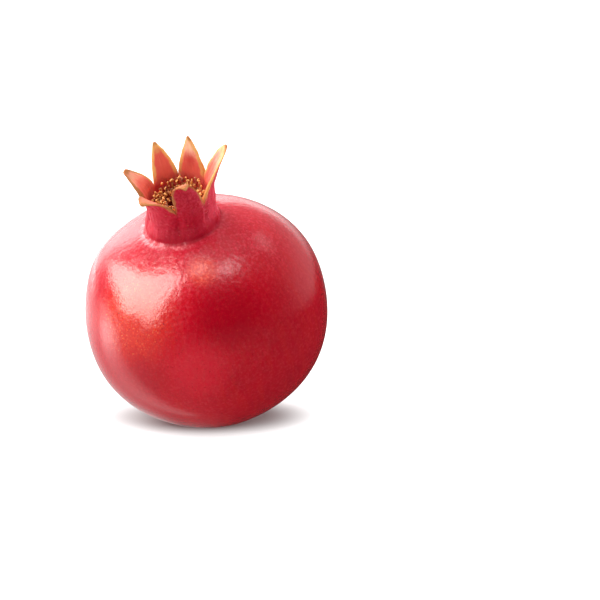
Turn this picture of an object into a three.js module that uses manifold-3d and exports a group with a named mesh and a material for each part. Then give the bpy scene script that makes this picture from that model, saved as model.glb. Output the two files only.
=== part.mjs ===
// A whole pomegranate as picked: a round, faintly ribbed fruit that carries its open calyx crown,
// the dried stamens inside the crown, and the short cut stem at the other end.
// Millimetres, +Z up. The origin is the middle of the flat spot that the fruit rests on.
import * as THREE from 'three';
import { mergeVertices } from 'three/addons/utils/BufferGeometryUtils.js';
import Module from 'manifold-3d';

const wasm = await Module();
wasm.setup();

const { degToRad, lerp, smoothstep } = THREE.MathUtils;

// How the fruit lies: its belly's centre over the flat spot, and the lean of its axis.
const BELLY_CENTRE = new THREE.Vector3(1.5, 2.8, 41);
const LEAN = degToRad(23.3);
const LEAN_TOWARD = degToRad(-118.5);

// The body is a ball that is a little flattened from stem to crown.
const BELLY_RADIUS = 44;
const STEM_END_DEPTH = 41;
const CROWN_END_HEIGHT = 40;
const BELLY_FULLNESS = 0.96;
const END_FULLNESS = 0.97;
const RIB_COUNT = 6;
const RIB_HEIGHT = 0.4;
const RIB_AZIMUTH = degToRad(31);

// A shallow dimple holds the stem, and a rolled collar with a hollow outside it rings the crown.
const DIMPLE_DEPTH = 3;
const DIMPLE_RADIUS = 6.5;
const COLLAR_HEIGHT = 0.5;
const COLLAR_RADIUS = 16;
const COLLAR_WIDTH = 1.8;
const HOLLOW_RADIUS = 21.5;
const HOLLOW_WIDTH = 3.5;

// The crown is a thick-walled tube, the neck, whose rim splits into sepals. Its own frame has the
// crease where the neck leaves the body at z 0.
const NECK_RADIUS = 12.75;
const NECK_HEIGHT = 10.6;
const NECK_WAIST = 0.3;
const NECK_LOBE = 0.25;
const CREASE_FILLET = 1.3;
const RIM_RADIUS = 11.55;
const WALL = 2.7;
const MARGIN_THINNING = 0.38;
const TIP_THINNING = 0.62;
const TIP_WIDTH = 0.35;
const CROWN_BEND = degToRad(6.7);
const CROWN_BEND_TOWARD = degToRad(-36);

// The cup inside the neck has a low dome on its floor, with a moat round it.
const CUP_DEPTH = 10;
const CUP_NARROWING = 0.3;
const CUP_TAPER = 1.2;
const MOAT_DEPTH = 0.8;
const DOME_HEIGHT = 3.2;
const MOAT_AT = 0.12;

// Each sepal runs anticlockwise from its notch to the next. lean and curl are degrees outward, at
// its foot and more by its tip; drift is its tip's sideways share of the length; gutter is how much
// of the tube's curve it keeps; roll is how far its margins turn out; taper makes its shoulders
// broad; slim is the share by which its far margin is drawn in.
const SEPALS = [
  { notch: -91, length: 15.2, lean: -7, curl: 46, drift: -0.12, gutter: 0.9, roll: 0.5, taper: 3, slim: 0 },
  { notch: -40, length: 22.2, lean: 24, curl: 4, drift: -0.01, gutter: 0.8, roll: 0.3, taper: 2.5, slim: 0 },
  { notch: 35, length: 18, lean: 5, curl: -4, drift: 0.02, gutter: 0.6, roll: 0.3, taper: 1.5, slim: 0 },
  { notch: 90, length: 15.4, lean: 18, curl: 4, drift: 0.02, gutter: 0.6, roll: 0.3, taper: 1.8, slim: 0.2 },
  { notch: 139, length: 13.2, lean: 30, curl: 18, drift: 0, gutter: 0.9, roll: 0.2, taper: 1.8, slim: 0 },
  { notch: 196, length: 13.6, lean: 13, curl: 80, drift: 0.02, gutter: 0.7, roll: 0.3, taper: 2, slim: 0 },
];

// The dried bunch: a thin lining on the cup's floor and lower wall, stamens that root in it and
// crowd their anthers at the rim, and the withered style in the middle.
const GAP = 0.3;
const LINING = 1;
const LINING_FROM = 0.45;
const STAMEN_COUNT = 60;
const STAMEN_SEED = 11;
const STAMEN_SWAY = 6;
const GOLDEN_ANGLE = Math.PI * (3 - Math.sqrt(5));
const FILAMENT_RADIUS = 0.42;
const ANTHER_LENGTH = 1.7;
const ANTHER_THICKNESS = 1.3;
const ANTHER_RING = [4.2, 8.7];
const ANTHER_HEIGHT = [-1.8, 3.6];
const STYLE_RADIUS = 0.8;
const STYLE_LENGTH = 4.5;

const STUB_RADIUS = 3.1;
const STUB_END = -41.4;

// How finely the faceted solids are divided.
const BODY_RINGS = 24;
const SEPAL_COLUMNS = 8;
const SEPAL_ROWS = 9;
const NECK_RINGS = 5;
const CUP_RINGS = 5;
const LATHE_SIDES = 24;

const smooth = (x) => smoothstep(x, 0, 1);
const bell = (x, centre, width) => Math.exp(-(((x - centre) / width) ** 2));
const polar = (radius, azimuth, z) =>
  new THREE.Vector3(radius * Math.cos(azimuth), radius * Math.sin(azimuth), z);

// Collects the points and triangles of one closed surface.
class Skin {
  points = [];
  triangles = [];

  addRow(points) {
    const first = this.points.length;
    this.points.push(...points);
    return points.map((_, i) => first + i);
  }

  // Joins two rows of equal length by a strip of faces that look to the left of row a.
  addStrip(a, b) {
    for (let i = 0; i + 1 < a.length; i++) {
      this.triangles.push(a[i], a[i + 1], b[i + 1], a[i], b[i + 1], b[i]);
    }
  }

  addBand(a, b) {
    this.addStrip([...a, a[0]], [...b, b[0]]);
  }

  addFan(centre, row) {
    row.forEach((point, i) => this.triangles.push(centre, point, row[(i + 1) % row.length]));
  }

  geometry() {
    const geometry = new THREE.BufferGeometry().setFromPoints(this.points);
    return geometry.setIndex(this.triangles);
  }
}

// Point of the body's surface, at an angle of 0 at the stem end and pi at the crown end.
function bodyPoint(angle, azimuth) {
  const toCrown = angle > Math.PI / 2;
  const rib = RIB_HEIGHT * Math.cos(RIB_COUNT * (azimuth - RIB_AZIMUTH)) * Math.sin(angle) ** 3;
  const radius = BELLY_RADIUS * Math.sin(angle) ** BELLY_FULLNESS + rib;
  const height = Math.abs(Math.cos(angle)) ** END_FULLNESS;
  if (toCrown) {
    const collar = bell(radius, COLLAR_RADIUS, COLLAR_WIDTH) - bell(radius, HOLLOW_RADIUS, HOLLOW_WIDTH);
    return polar(radius, azimuth, CROWN_END_HEIGHT * height + COLLAR_HEIGHT * collar);
  }
  const dimple = DIMPLE_DEPTH * bell(radius, 0, DIMPLE_RADIUS);
  return polar(radius, azimuth, dimple - STEM_END_DEPTH * height);
}

// Angle at which the body's surface is this far from its axis, on the stem's half.
function angleAtRadius(radius) {
  return Math.asin((radius / BELLY_RADIUS) ** (1 / BELLY_FULLNESS));
}

const CREASE_ANGLE = Math.PI - angleAtRadius(NECK_RADIUS + CREASE_FILLET);
const CREASE = bodyPoint(CREASE_ANGLE, 0).setX(0);

// Moves a point of the crown's frame into the fruit's frame, with the crown's bend.
function crownToFruit(point) {
  const across = polar(1, CROWN_BEND_TOWARD + Math.PI / 2, 0);
  return point.clone().applyAxisAngle(across, CROWN_BEND * smooth(point.z / NECK_HEIGHT)).add(CREASE);
}

function sepalSpan(index) {
  const from = SEPALS[index].notch;
  const to = index + 1 < SEPALS.length ? SEPALS[index + 1].notch : SEPALS[0].notch + 360;
  return { from: degToRad(from), middle: degToRad((from + to) / 2), half: degToRad((to - from) / 2) };
}

// One column of the grid for each place round the crown: its azimuth and its place across a sepal,
// from -1 at one margin to 1 at the other.
function gridColumns() {
  return SEPALS.flatMap((_, index) => {
    const span = sepalSpan(index);
    return Array.from({ length: SEPAL_COLUMNS }, (_, i) => {
      const across = (2 * i) / SEPAL_COLUMNS - 1;
      return { across, azimuth: span.middle + across * span.half };
    });
  });
}

const COLUMNS = gridColumns();

const halfWall = (across) => (WALL / 2) * (1 - MARGIN_THINNING * Math.abs(across) ** 2.2);

// Outer radius of the neck: it eases from its foot to the rim, with a slight waist and lobes.
function neckRadius(z, across) {
  const share = z / NECK_HEIGHT;
  const toRim = smooth((share - 0.1) / 0.9);
  const lobe = NECK_LOBE * Math.cos(Math.PI * across) * smooth(4 * share) * (1 - toRim);
  const waist = NECK_WAIST * Math.sin(Math.PI * share) ** 2;
  return lerp(NECK_RADIUS, RIM_RADIUS + halfWall(across), toRim) - waist + lobe;
}

// Radius of the cup's wall at a share of its depth.
function cupRadius(share, half) {
  const deep = RIM_RADIUS - WALL / 2 - CUP_NARROWING;
  return lerp(RIM_RADIUS - half, deep, smooth(2 * share)) - CUP_TAPER * share;
}

// Height of the cup's floor at a share of the way from its edge to its middle.
function cupFloor(share) {
  const dome = DOME_HEIGHT * smooth((share - MOAT_AT) / (1 - MOAT_AT));
  return NECK_HEIGHT - CUP_DEPTH - MOAT_DEPTH * smooth(share / MOAT_AT) + dome;
}

const sepalSlope = (sepal, along) =>
  degToRad(sepal.lean * smooth(along / 0.45) + sepal.curl * along ** 2);

// How far out and up from the rim a sepal's centre line has come.
function sepalCentre(sepal, along) {
  const steps = 24;
  const stride = (sepal.length * along) / steps;
  const centre = { out: 0, up: 0 };
  for (let i = 0; i < steps; i++) {
    const slope = sepalSlope(sepal, (along * (i + 0.5)) / steps);
    centre.out += stride * Math.sin(slope);
    centre.up += stride * Math.cos(slope);
  }
  return centre;
}

// Middle of a sepal's thickness at a place across and along it, with its outward normal.
function sepalMiddle(index, across, along) {
  const sepal = SEPALS[index];
  const span = sepalSpan(index);
  const centre = sepalCentre(sepal, along);
  const slope = sepalSlope(sepal, along);
  const slim = 1 - sepal.slim * Math.max(across, 0) * smooth(along / 0.3);
  const outline = (1 - along ** sepal.taper) ** 0.9;
  const width = (span.half * RIM_RADIUS * outline + TIP_WIDTH * along ** 2) * slim;
  const radius = RIM_RADIUS / lerp(1, sepal.gutter, smooth(along / 0.5));
  const turn = (across * width) / radius;
  const roll = sepal.roll * Math.abs(across) ** 3 * smooth(along / 0.35) * (1 - along) ** 0.4;
  const inward = radius * (1 - Math.cos(turn)) - roll;
  const out = RIM_RADIUS + centre.out - inward * Math.cos(slope);
  const side = radius * Math.sin(turn) + sepal.drift * sepal.length * along ** 2;
  const up = NECK_HEIGHT + centre.up + inward * Math.sin(slope);
  const axis = new THREE.Vector3(0, 0, 1);
  const normal = new THREE.Vector3(
    Math.cos(slope) * Math.cos(turn),
    Math.sin(turn),
    -Math.sin(slope) * Math.cos(turn),
  );
  return {
    point: new THREE.Vector3(out, side, up).applyAxisAngle(axis, span.middle),
    normal: normal.applyAxisAngle(axis, span.middle),
  };
}

// One row across a sepal: its outer face, its inner face and the two rounded edges.
function sepalRow(skin, index, along) {
  const outer = [];
  const inner = [];
  for (let i = 0; i <= SEPAL_COLUMNS; i++) {
    const across = (2 * i) / SEPAL_COLUMNS - 1;
    const { point, normal } = sepalMiddle(index, across, along);
    const half = halfWall(across) * (1 - TIP_THINNING * smooth(along / 0.9));
    outer.push(point.clone().addScaledVector(normal, half));
    inner.push(point.clone().addScaledVector(normal, -half));
  }
  const near = outer[0].clone().add(inner[0]).multiplyScalar(0.5);
  const far = outer.at(-1).clone().add(inner.at(-1)).multiplyScalar(0.5);
  const proud = 0.35 * outer[0].distanceTo(inner[0]);
  const sideways = far.clone().sub(near).setLength(proud);
  const edges = [near.sub(sideways), far.add(sideways)];
  const [nearEdge, farEdge] = skin.addRow(edges.map(crownToFruit));
  return {
    outer: skin.addRow(outer.map(crownToFruit)),
    inner: skin.addRow(inner.map(crownToFruit)),
    nearEdge,
    farEdge,
  };
}

// Raises a sepal from its row on the rim to its blunt tip.
function addSepal(skin, index, rimRow) {
  let row = rimRow;
  for (let i = 1; i <= SEPAL_ROWS; i++) {
    const next = sepalRow(skin, index, i / SEPAL_ROWS);
    skin.addStrip(row.outer, next.outer);
    skin.addStrip(next.inner, row.inner);
    skin.addStrip([row.nearEdge, row.outer[0]], [next.nearEdge, next.outer[0]]);
    skin.addStrip([row.inner[0], row.nearEdge], [next.inner[0], next.nearEdge]);
    skin.addStrip([row.outer.at(-1), row.farEdge], [next.outer.at(-1), next.farEdge]);
    skin.addStrip([row.farEdge, row.inner.at(-1)], [next.farEdge, next.inner.at(-1)]);
    row = next;
  }
  skin.addStrip(row.outer, row.inner);
  skin.triangles.push(row.nearEdge, row.outer[0], row.inner[0]);
  skin.triangles.push(row.outer.at(-1), row.farEdge, row.inner.at(-1));
}

// The body from its stem end up to the crease round the neck.
function addBody(skin) {
  const [pole] = skin.addRow([bodyPoint(0, 0)]);
  let row = null;
  for (let i = 1; i <= BODY_RINGS; i++) {
    const angle = (CREASE_ANGLE * i) / BODY_RINGS;
    const next = skin.addRow(COLUMNS.map((column) => bodyPoint(angle, column.azimuth)));
    if (row) skin.addBand(row, next);
    else skin.addFan(pole, next.slice().reverse());
    row = next;
  }
  return row;
}

// The rounded crease and the outside of the neck, up to the rim.
function addNeck(skin, creaseRow) {
  const rings = [0.33, 0.66, 1].map((share) => {
    const turn = (share * Math.PI) / 2;
    const radius = NECK_RADIUS + CREASE_FILLET * (1 - Math.sin(turn));
    return COLUMNS.map(({ azimuth }) => polar(radius, azimuth, CREASE_FILLET * (1 - Math.cos(turn))));
  });
  for (let i = 1; i <= NECK_RINGS; i++) {
    const z = lerp(CREASE_FILLET, NECK_HEIGHT, i / NECK_RINGS);
    rings.push(COLUMNS.map(({ across, azimuth }) => polar(neckRadius(z, across), azimuth, z)));
  }
  return rings.reduce((row, ring) => {
    const next = skin.addRow(ring.map(crownToFruit));
    skin.addBand(row, next);
    return next;
  }, creaseRow);
}

// The inside of the crown, from the rim down the wall and over the domed floor.
function addCup(skin, rimRow) {
  const edge = cupRadius(1, halfWall(0));
  const rings = [];
  for (let i = 1; i <= CUP_RINGS; i++) {
    const share = i / CUP_RINGS;
    const z = NECK_HEIGHT - CUP_DEPTH * share;
    rings.push(COLUMNS.map(({ across, azimuth }) => polar(cupRadius(share, halfWall(across)), azimuth, z)));
  }
  for (const share of [MOAT_AT, 0.35, 0.65]) {
    rings.push(COLUMNS.map(({ azimuth }) => polar(edge * (1 - share), azimuth, cupFloor(share))));
  }
  const last = rings.reduce((row, ring) => {
    const next = skin.addRow(ring.map(crownToFruit));
    skin.addBand(row, next);
    return next;
  }, rimRow);
  const [middle] = skin.addRow([crownToFruit(polar(0, 0, cupFloor(1)))]);
  skin.addFan(middle, last);
}

// The whole rind: body, neck, sepals and the inside of the crown as one closed surface.
function fruitGeometry() {
  const skin = new Skin();
  const outerRim = addNeck(skin, addBody(skin));
  const innerRing = COLUMNS.map(({ across, azimuth }) =>
    polar(RIM_RADIUS - halfWall(across), azimuth, NECK_HEIGHT),
  );
  const innerRim = skin.addRow(innerRing.map(crownToFruit));
  const notchHeight = NECK_HEIGHT + 0.45 * halfWall(1);
  const notchPoints = SEPALS.map((_, index) => polar(RIM_RADIUS, sepalSpan(index).from, notchHeight));
  const notches = skin.addRow(notchPoints.map(crownToFruit));
  SEPALS.forEach((_, index) => {
    const at = (row, i) => row[(index * SEPAL_COLUMNS + i) % row.length];
    const places = Array.from({ length: SEPAL_COLUMNS + 1 }, (_, i) => i);
    addSepal(skin, index, {
      outer: places.map((i) => at(outerRim, i)),
      inner: places.map((i) => at(innerRim, i)),
      nearEdge: notches[index],
      farEdge: notches[(index + 1) % SEPALS.length],
    });
  });
  addCup(skin, innerRim);
  return skin.geometry();
}

// Turns a closed geometry into a solid that can be joined and cut.
function toSolid(geometry) {
  const bare = geometry.clone();
  bare.deleteAttribute('normal');
  bare.deleteAttribute('uv');
  const merged = mergeVertices(bare, 1e-4);
  return new wasm.Manifold(
    new wasm.Mesh({
      numProp: 3,
      vertProperties: new Float32Array(merged.attributes.position.array),
      triVerts: new Uint32Array(merged.index.array),
    }),
  );
}

// The biggest of a solid's closed surfaces, which leaves out sealed hollows and loose scraps.
function largestBody(solid) {
  return solid.decompose().reduce((largest, body) => (body.volume() > largest.volume() ? body : largest));
}

function toGeometry(solid) {
  const mesh = solid.getMesh();
  const geometry = new THREE.BufferGeometry();
  geometry.setAttribute('position', new THREE.BufferAttribute(mesh.vertProperties, 3));
  return geometry.setIndex(new THREE.BufferAttribute(mesh.triVerts, 1));
}

// Leans the fruit's frame and sets it down on the flat spot.
function layDown(geometry) {
  const across = polar(1, LEAN_TOWARD + Math.PI / 2, 0);
  const stance = new THREE.Matrix4().makeRotationAxis(across, LEAN).setPosition(BELLY_CENTRE);
  return geometry.applyMatrix4(stance);
}

// Moves a geometry made in the crown's frame into the fruit's frame.
function mapCrown(geometry) {
  const places = geometry.attributes.position;
  const point = new THREE.Vector3();
  for (let i = 0; i < places.count; i++) {
    point.copy(crownToFruit(point.fromBufferAttribute(places, i)));
    places.setXYZ(i, point.x, point.y, point.z);
  }
  return geometry;
}

// A closed solid of revolution about the z axis, from points of radius and height.
function turned(profile, sides = LATHE_SIDES) {
  const points = profile.map(([radius, height]) => new THREE.Vector2(radius, height));
  return new THREE.LatheGeometry(points, sides).rotateX(Math.PI / 2);
}

// The same random numbers on every run.
function seededRandom(seed) {
  let state = seed;
  return () => {
    state = (state + 0x6d2b79f5) | 0;
    let mixed = Math.imul(state ^ (state >>> 15), 1 | state);
    mixed = (mixed + Math.imul(mixed ^ (mixed >>> 7), 61 | mixed)) ^ mixed;
    return ((mixed ^ (mixed >>> 14)) >>> 0) / 4294967296;
  };
}

// Radius and height of the cup's surface, from the lining's upper edge to the middle of the floor.
function liningPath() {
  const wall = [LINING_FROM, 0.7, 1].map((share) => [
    cupRadius(share, WALL / 2),
    NECK_HEIGHT - CUP_DEPTH * share,
  ]);
  const floor = [MOAT_AT, 0.35, 0.65, 1].map((share) => [
    cupRadius(1, WALL / 2) * (1 - share),
    cupFloor(share),
  ]);
  return { wall, floor };
}

function liningGeometry() {
  const { wall, floor } = liningPath();
  const face = (offset) => [
    ...wall.slice(0, -1).map(([radius, height]) => [radius - offset, height]),
    [wall.at(-1)[0] - offset, wall.at(-1)[1] + offset],
    ...floor.map(([radius, height]) => [Math.max(0, radius - offset * (radius > 0)), height + offset]),
  ];
  return turned([...face(GAP).reverse(), ...face(GAP + LINING)]);
}

function styleGeometry() {
  const foot = cupFloor(1) + GAP + LINING / 2;
  const head = foot + STYLE_LENGTH;
  const profile = [
    [0, foot],
    [STYLE_RADIUS * 1.5, foot],
    [STYLE_RADIUS, foot + 1.2],
    [STYLE_RADIUS * 0.8, head - 1.2],
    [STYLE_RADIUS * 1.6, head - 0.5],
    [STYLE_RADIUS, head],
    [0, head + 0.2],
  ];
  return turned(profile, 8);
}

// A thin three-sided thread along a curve.
function filamentGeometry(curve) {
  const corners = [0, 1, 2].map((i) => {
    const turn = (i * 2 * Math.PI) / 3;
    return new THREE.Vector2(FILAMENT_RADIUS * Math.cos(turn), FILAMENT_RADIUS * Math.sin(turn));
  });
  const section = new THREE.Shape(corners);
  return new THREE.ExtrudeGeometry(section, { steps: 3, extrudePath: curve, bevelEnabled: false });
}

// One stamen: a filament from the lining's wall to its anther, as two overlapping geometries.
function stamenGeometries(azimuth, random) {
  const between = ([low, high]) => lerp(low, high, random());
  const rootHeight = NECK_HEIGHT - CUP_DEPTH * lerp(LINING_FROM + 0.05, 0.9, random());
  const rootRadius = cupRadius(0.75, WALL / 2) - GAP - LINING * 0.6;
  const tipRadius = ANTHER_RING[0] + (ANTHER_RING[1] - ANTHER_RING[0]) * Math.sqrt(random());
  const tipHeight = NECK_HEIGHT + between(ANTHER_HEIGHT);
  const tipAzimuth = azimuth + degToRad(between([-STAMEN_SWAY, STAMEN_SWAY]));
  const root = polar(rootRadius, azimuth, rootHeight);
  const knee = polar(lerp(rootRadius, tipRadius, 0.8), tipAzimuth, lerp(rootHeight, tipHeight, 0.35));
  const tip = polar(tipRadius, tipAzimuth, tipHeight);
  const turn = new THREE.Euler(between([-1, 1]), between([-1, 1]), between([-3, 3]));
  const anther = new THREE.OctahedronGeometry(0.5)
    .scale(ANTHER_LENGTH, ANTHER_THICKNESS, ANTHER_THICKNESS)
    .applyMatrix4(new THREE.Matrix4().makeRotationFromEuler(turn).setPosition(tip));
  return [filamentGeometry(new THREE.QuadraticBezierCurve3(root, knee, tip)), anther];
}

// The dried bunch inside the crown, fused into one solid.
function bunchGeometry() {
  const random = seededRandom(STAMEN_SEED);
  const pieces = [liningGeometry(), styleGeometry()];
  for (let i = 0; i < STAMEN_COUNT; i++) pieces.push(...stamenGeometries(i * GOLDEN_ANGLE, random));
  const solids = pieces.map((piece) => toSolid(layDown(mapCrown(piece))));
  const fused = solids.reduce((bunch, solid) => bunch.add(solid));
  return toGeometry(largestBody(fused));
}

// The stem stub, whose upper end follows the dimple at a hair's breadth.
function stubGeometry() {
  const seat = (radius) => [radius, bodyPoint(angleAtRadius(radius), 0).z - GAP];
  const profile = [
    [0, STUB_END + 0.2],
    [STUB_RADIUS * 0.7, STUB_END],
    [STUB_RADIUS * 0.86, STUB_END + 0.3],
    [STUB_RADIUS * 0.9, STUB_END + 1.4],
    seat(STUB_RADIUS),
    seat(STUB_RADIUS / 2),
    seat(0),
  ];
  return turned(profile, 12);
}

// Cuts off what would be below the ground, which leaves the flat spot.
function cutFlatSpot(geometry) {
  const ground = new THREE.BoxGeometry(80, 80, 20).translate(0, 0, -10);
  return toGeometry(toSolid(geometry).subtract(toSolid(ground)));
}

function namedMesh(name, geometry, color, roughness) {
  const material = new THREE.MeshStandardMaterial({ color, roughness, metalness: 0 });
  const mesh = new THREE.Mesh(geometry, material);
  mesh.name = name;
  return mesh;
}

const pomegranate = new THREE.Group();
pomegranate.add(
  namedMesh('fruit', cutFlatSpot(layDown(fruitGeometry())), 0xb4202f, 0.42),
  namedMesh('stamens', bunchGeometry(), 0xa9752c, 0.8),
  namedMesh('stem_stub', layDown(stubGeometry()), 0x7b5f3f, 0.85),
);

export default pomegranate;
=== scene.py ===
"""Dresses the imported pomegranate: rind, calyx crown, dried stamens, stem stub and studio.

Forms are worked out in millimetres and become metres when a mesh is made. The fruit's own frame has
+z through the crown; the crown's frame is the same, with the crease where the neck leaves the body
at z 0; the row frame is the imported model's.
"""

import logging
import math
from collections.abc import Sequence
from dataclasses import dataclass, field
from enum import Enum
from typing import Any

import bpy
import numpy as np
from mathutils import Matrix, Vector, noise

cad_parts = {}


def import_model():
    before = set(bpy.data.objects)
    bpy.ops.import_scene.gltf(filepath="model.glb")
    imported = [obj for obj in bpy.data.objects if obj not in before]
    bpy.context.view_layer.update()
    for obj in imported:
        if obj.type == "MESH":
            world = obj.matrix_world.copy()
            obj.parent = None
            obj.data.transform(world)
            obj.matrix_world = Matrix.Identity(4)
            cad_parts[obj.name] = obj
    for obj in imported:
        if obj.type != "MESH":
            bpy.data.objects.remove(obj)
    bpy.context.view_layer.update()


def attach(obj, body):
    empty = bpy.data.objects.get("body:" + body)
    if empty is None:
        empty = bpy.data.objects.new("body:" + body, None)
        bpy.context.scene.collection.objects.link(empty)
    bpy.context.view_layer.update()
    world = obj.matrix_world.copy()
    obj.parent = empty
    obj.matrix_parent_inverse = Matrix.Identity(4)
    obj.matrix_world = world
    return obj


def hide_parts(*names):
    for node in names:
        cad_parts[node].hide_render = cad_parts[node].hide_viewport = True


Array = np.ndarray
Triple = tuple[float, float, float]
Span = tuple[float, float]
Colour = Triple
Socket = bpy.types.NodeSocket
Inputs = dict[str | int, Any]
Piece = bpy.types.Object
LOG = logging.getLogger("pomegranate")
MILLIMETRE = 0.001
GOLDEN_ANGLE = math.pi * (3 - math.sqrt(5))
FAR = 99.0  # millimetres, for marks of points that are nowhere near


def smooth(value: Array | float) -> Array:
    """Eases from 0 to 1 between 0 and 1."""
    share = np.clip(value, 0.0, 1.0)
    return share * share * (3 - 2 * share)


def bell(value: Array | float, centre: float, width: float) -> Array:
    """Rises to 1 at the centre and falls off by the width."""
    return np.exp(-(((value - centre) / width) ** 2))


def lerp(first: Array | float, last: Array | float, share: Array | float) -> Array | float:
    """Goes from first to last as share goes from 0 to 1."""
    return first + (last - first) * share


def polar(radius: Array | float, azimuth: Array | float, height: Array | float) -> Array:
    """Points from their radius, azimuth in radians and height."""
    x, y, z = np.broadcast_arrays(radius * np.cos(azimuth), radius * np.sin(azimuth), height)
    return np.stack([x, y, z], axis=-1)


def lean_over(points: Array, angle: Array | float, toward: float) -> Array:
    """Turns points about a horizontal axis through the origin, so that +z leans over.

    Args:
        points: The points, in rows of three.
        angle: How far, in radians, for all points or for each.
        toward: Azimuth that +z leans toward, in radians.

    Returns:
        The turned points.
    """
    axis = np.array([-math.sin(toward), math.cos(toward), 0.0])
    turn = np.asarray(angle)[..., None]
    level = (points @ axis)[..., None] * axis
    return points * np.cos(turn) + np.cross(axis, points) * np.sin(turn) + level * (1 - np.cos(turn))


def noise_at(points: Array, pitch: float, shift: float = 0.0) -> Array:
    """Smooth noise from -1 to 1 at each point, whose blobs are about a pitch wide."""
    return np.array([noise.noise(Vector(point)) for point in points / pitch + shift])


def drawn_out(places: Array, around: float, along: float) -> Array:
    """Places for noise whose streaks run along the third value; both are counts for a millimetre."""
    return np.column_stack([places[:, :2] * around, places[:, 2] * along])


def pebbles_at(points: Array, pitch: float, fullness: float = 1.15, steepness: float = 1.3) -> Array:
    """Round pebbles from 0 to 1, a pitch apart, with narrow valleys between them."""
    near = np.array([noise.voronoi(Vector(point))[0][0] for point in points / pitch])
    return smooth(fullness - near * steepness)


def unit(vector: Array) -> Array:
    """A vector's direction."""
    return vector / np.linalg.norm(vector)


@dataclass(frozen=True)
class Stance:
    """How the fruit lies: its belly's centre over the flat spot and the lean of its axis."""

    belly_centre: Triple = (1.5, 2.8, 41.0)
    lean: float = 23.3
    lean_toward: float = -118.5

    def to_row(self, points: Array) -> Array:
        """Moves points of the fruit's frame into the row frame, still in millimetres."""
        leant = lean_over(points, math.radians(self.lean), math.radians(self.lean_toward))
        return leant + np.array(self.belly_centre)


@dataclass(frozen=True)
class Sepal:
    """One pointed blade of the calyx, from its notch anticlockwise to the next.

    lean and curl are degrees outward, at its foot and more by its tip; drift is its tip's sideways
    share of the length; gutter is how much of the tube's curve it keeps; roll is how far its margins
    turn out; taper makes its shoulders broad; slim is the share by which its far margin is drawn in.
    blush is how pale its inner face gets, stain how dark the patch on it, fold how many degrees its
    tip is folded outward, tip half the tip's width, hook the folded part's way back sideways.
    """

    notch: float
    length: float
    lean: float
    curl: float
    drift: float
    gutter: float
    roll: float
    taper: float
    slim: float = 0.0
    blush: float = 0.5
    stain: float = 0.0
    fold: float = 0.0
    tip: float = 0.35
    hook: float = 0.0


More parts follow.
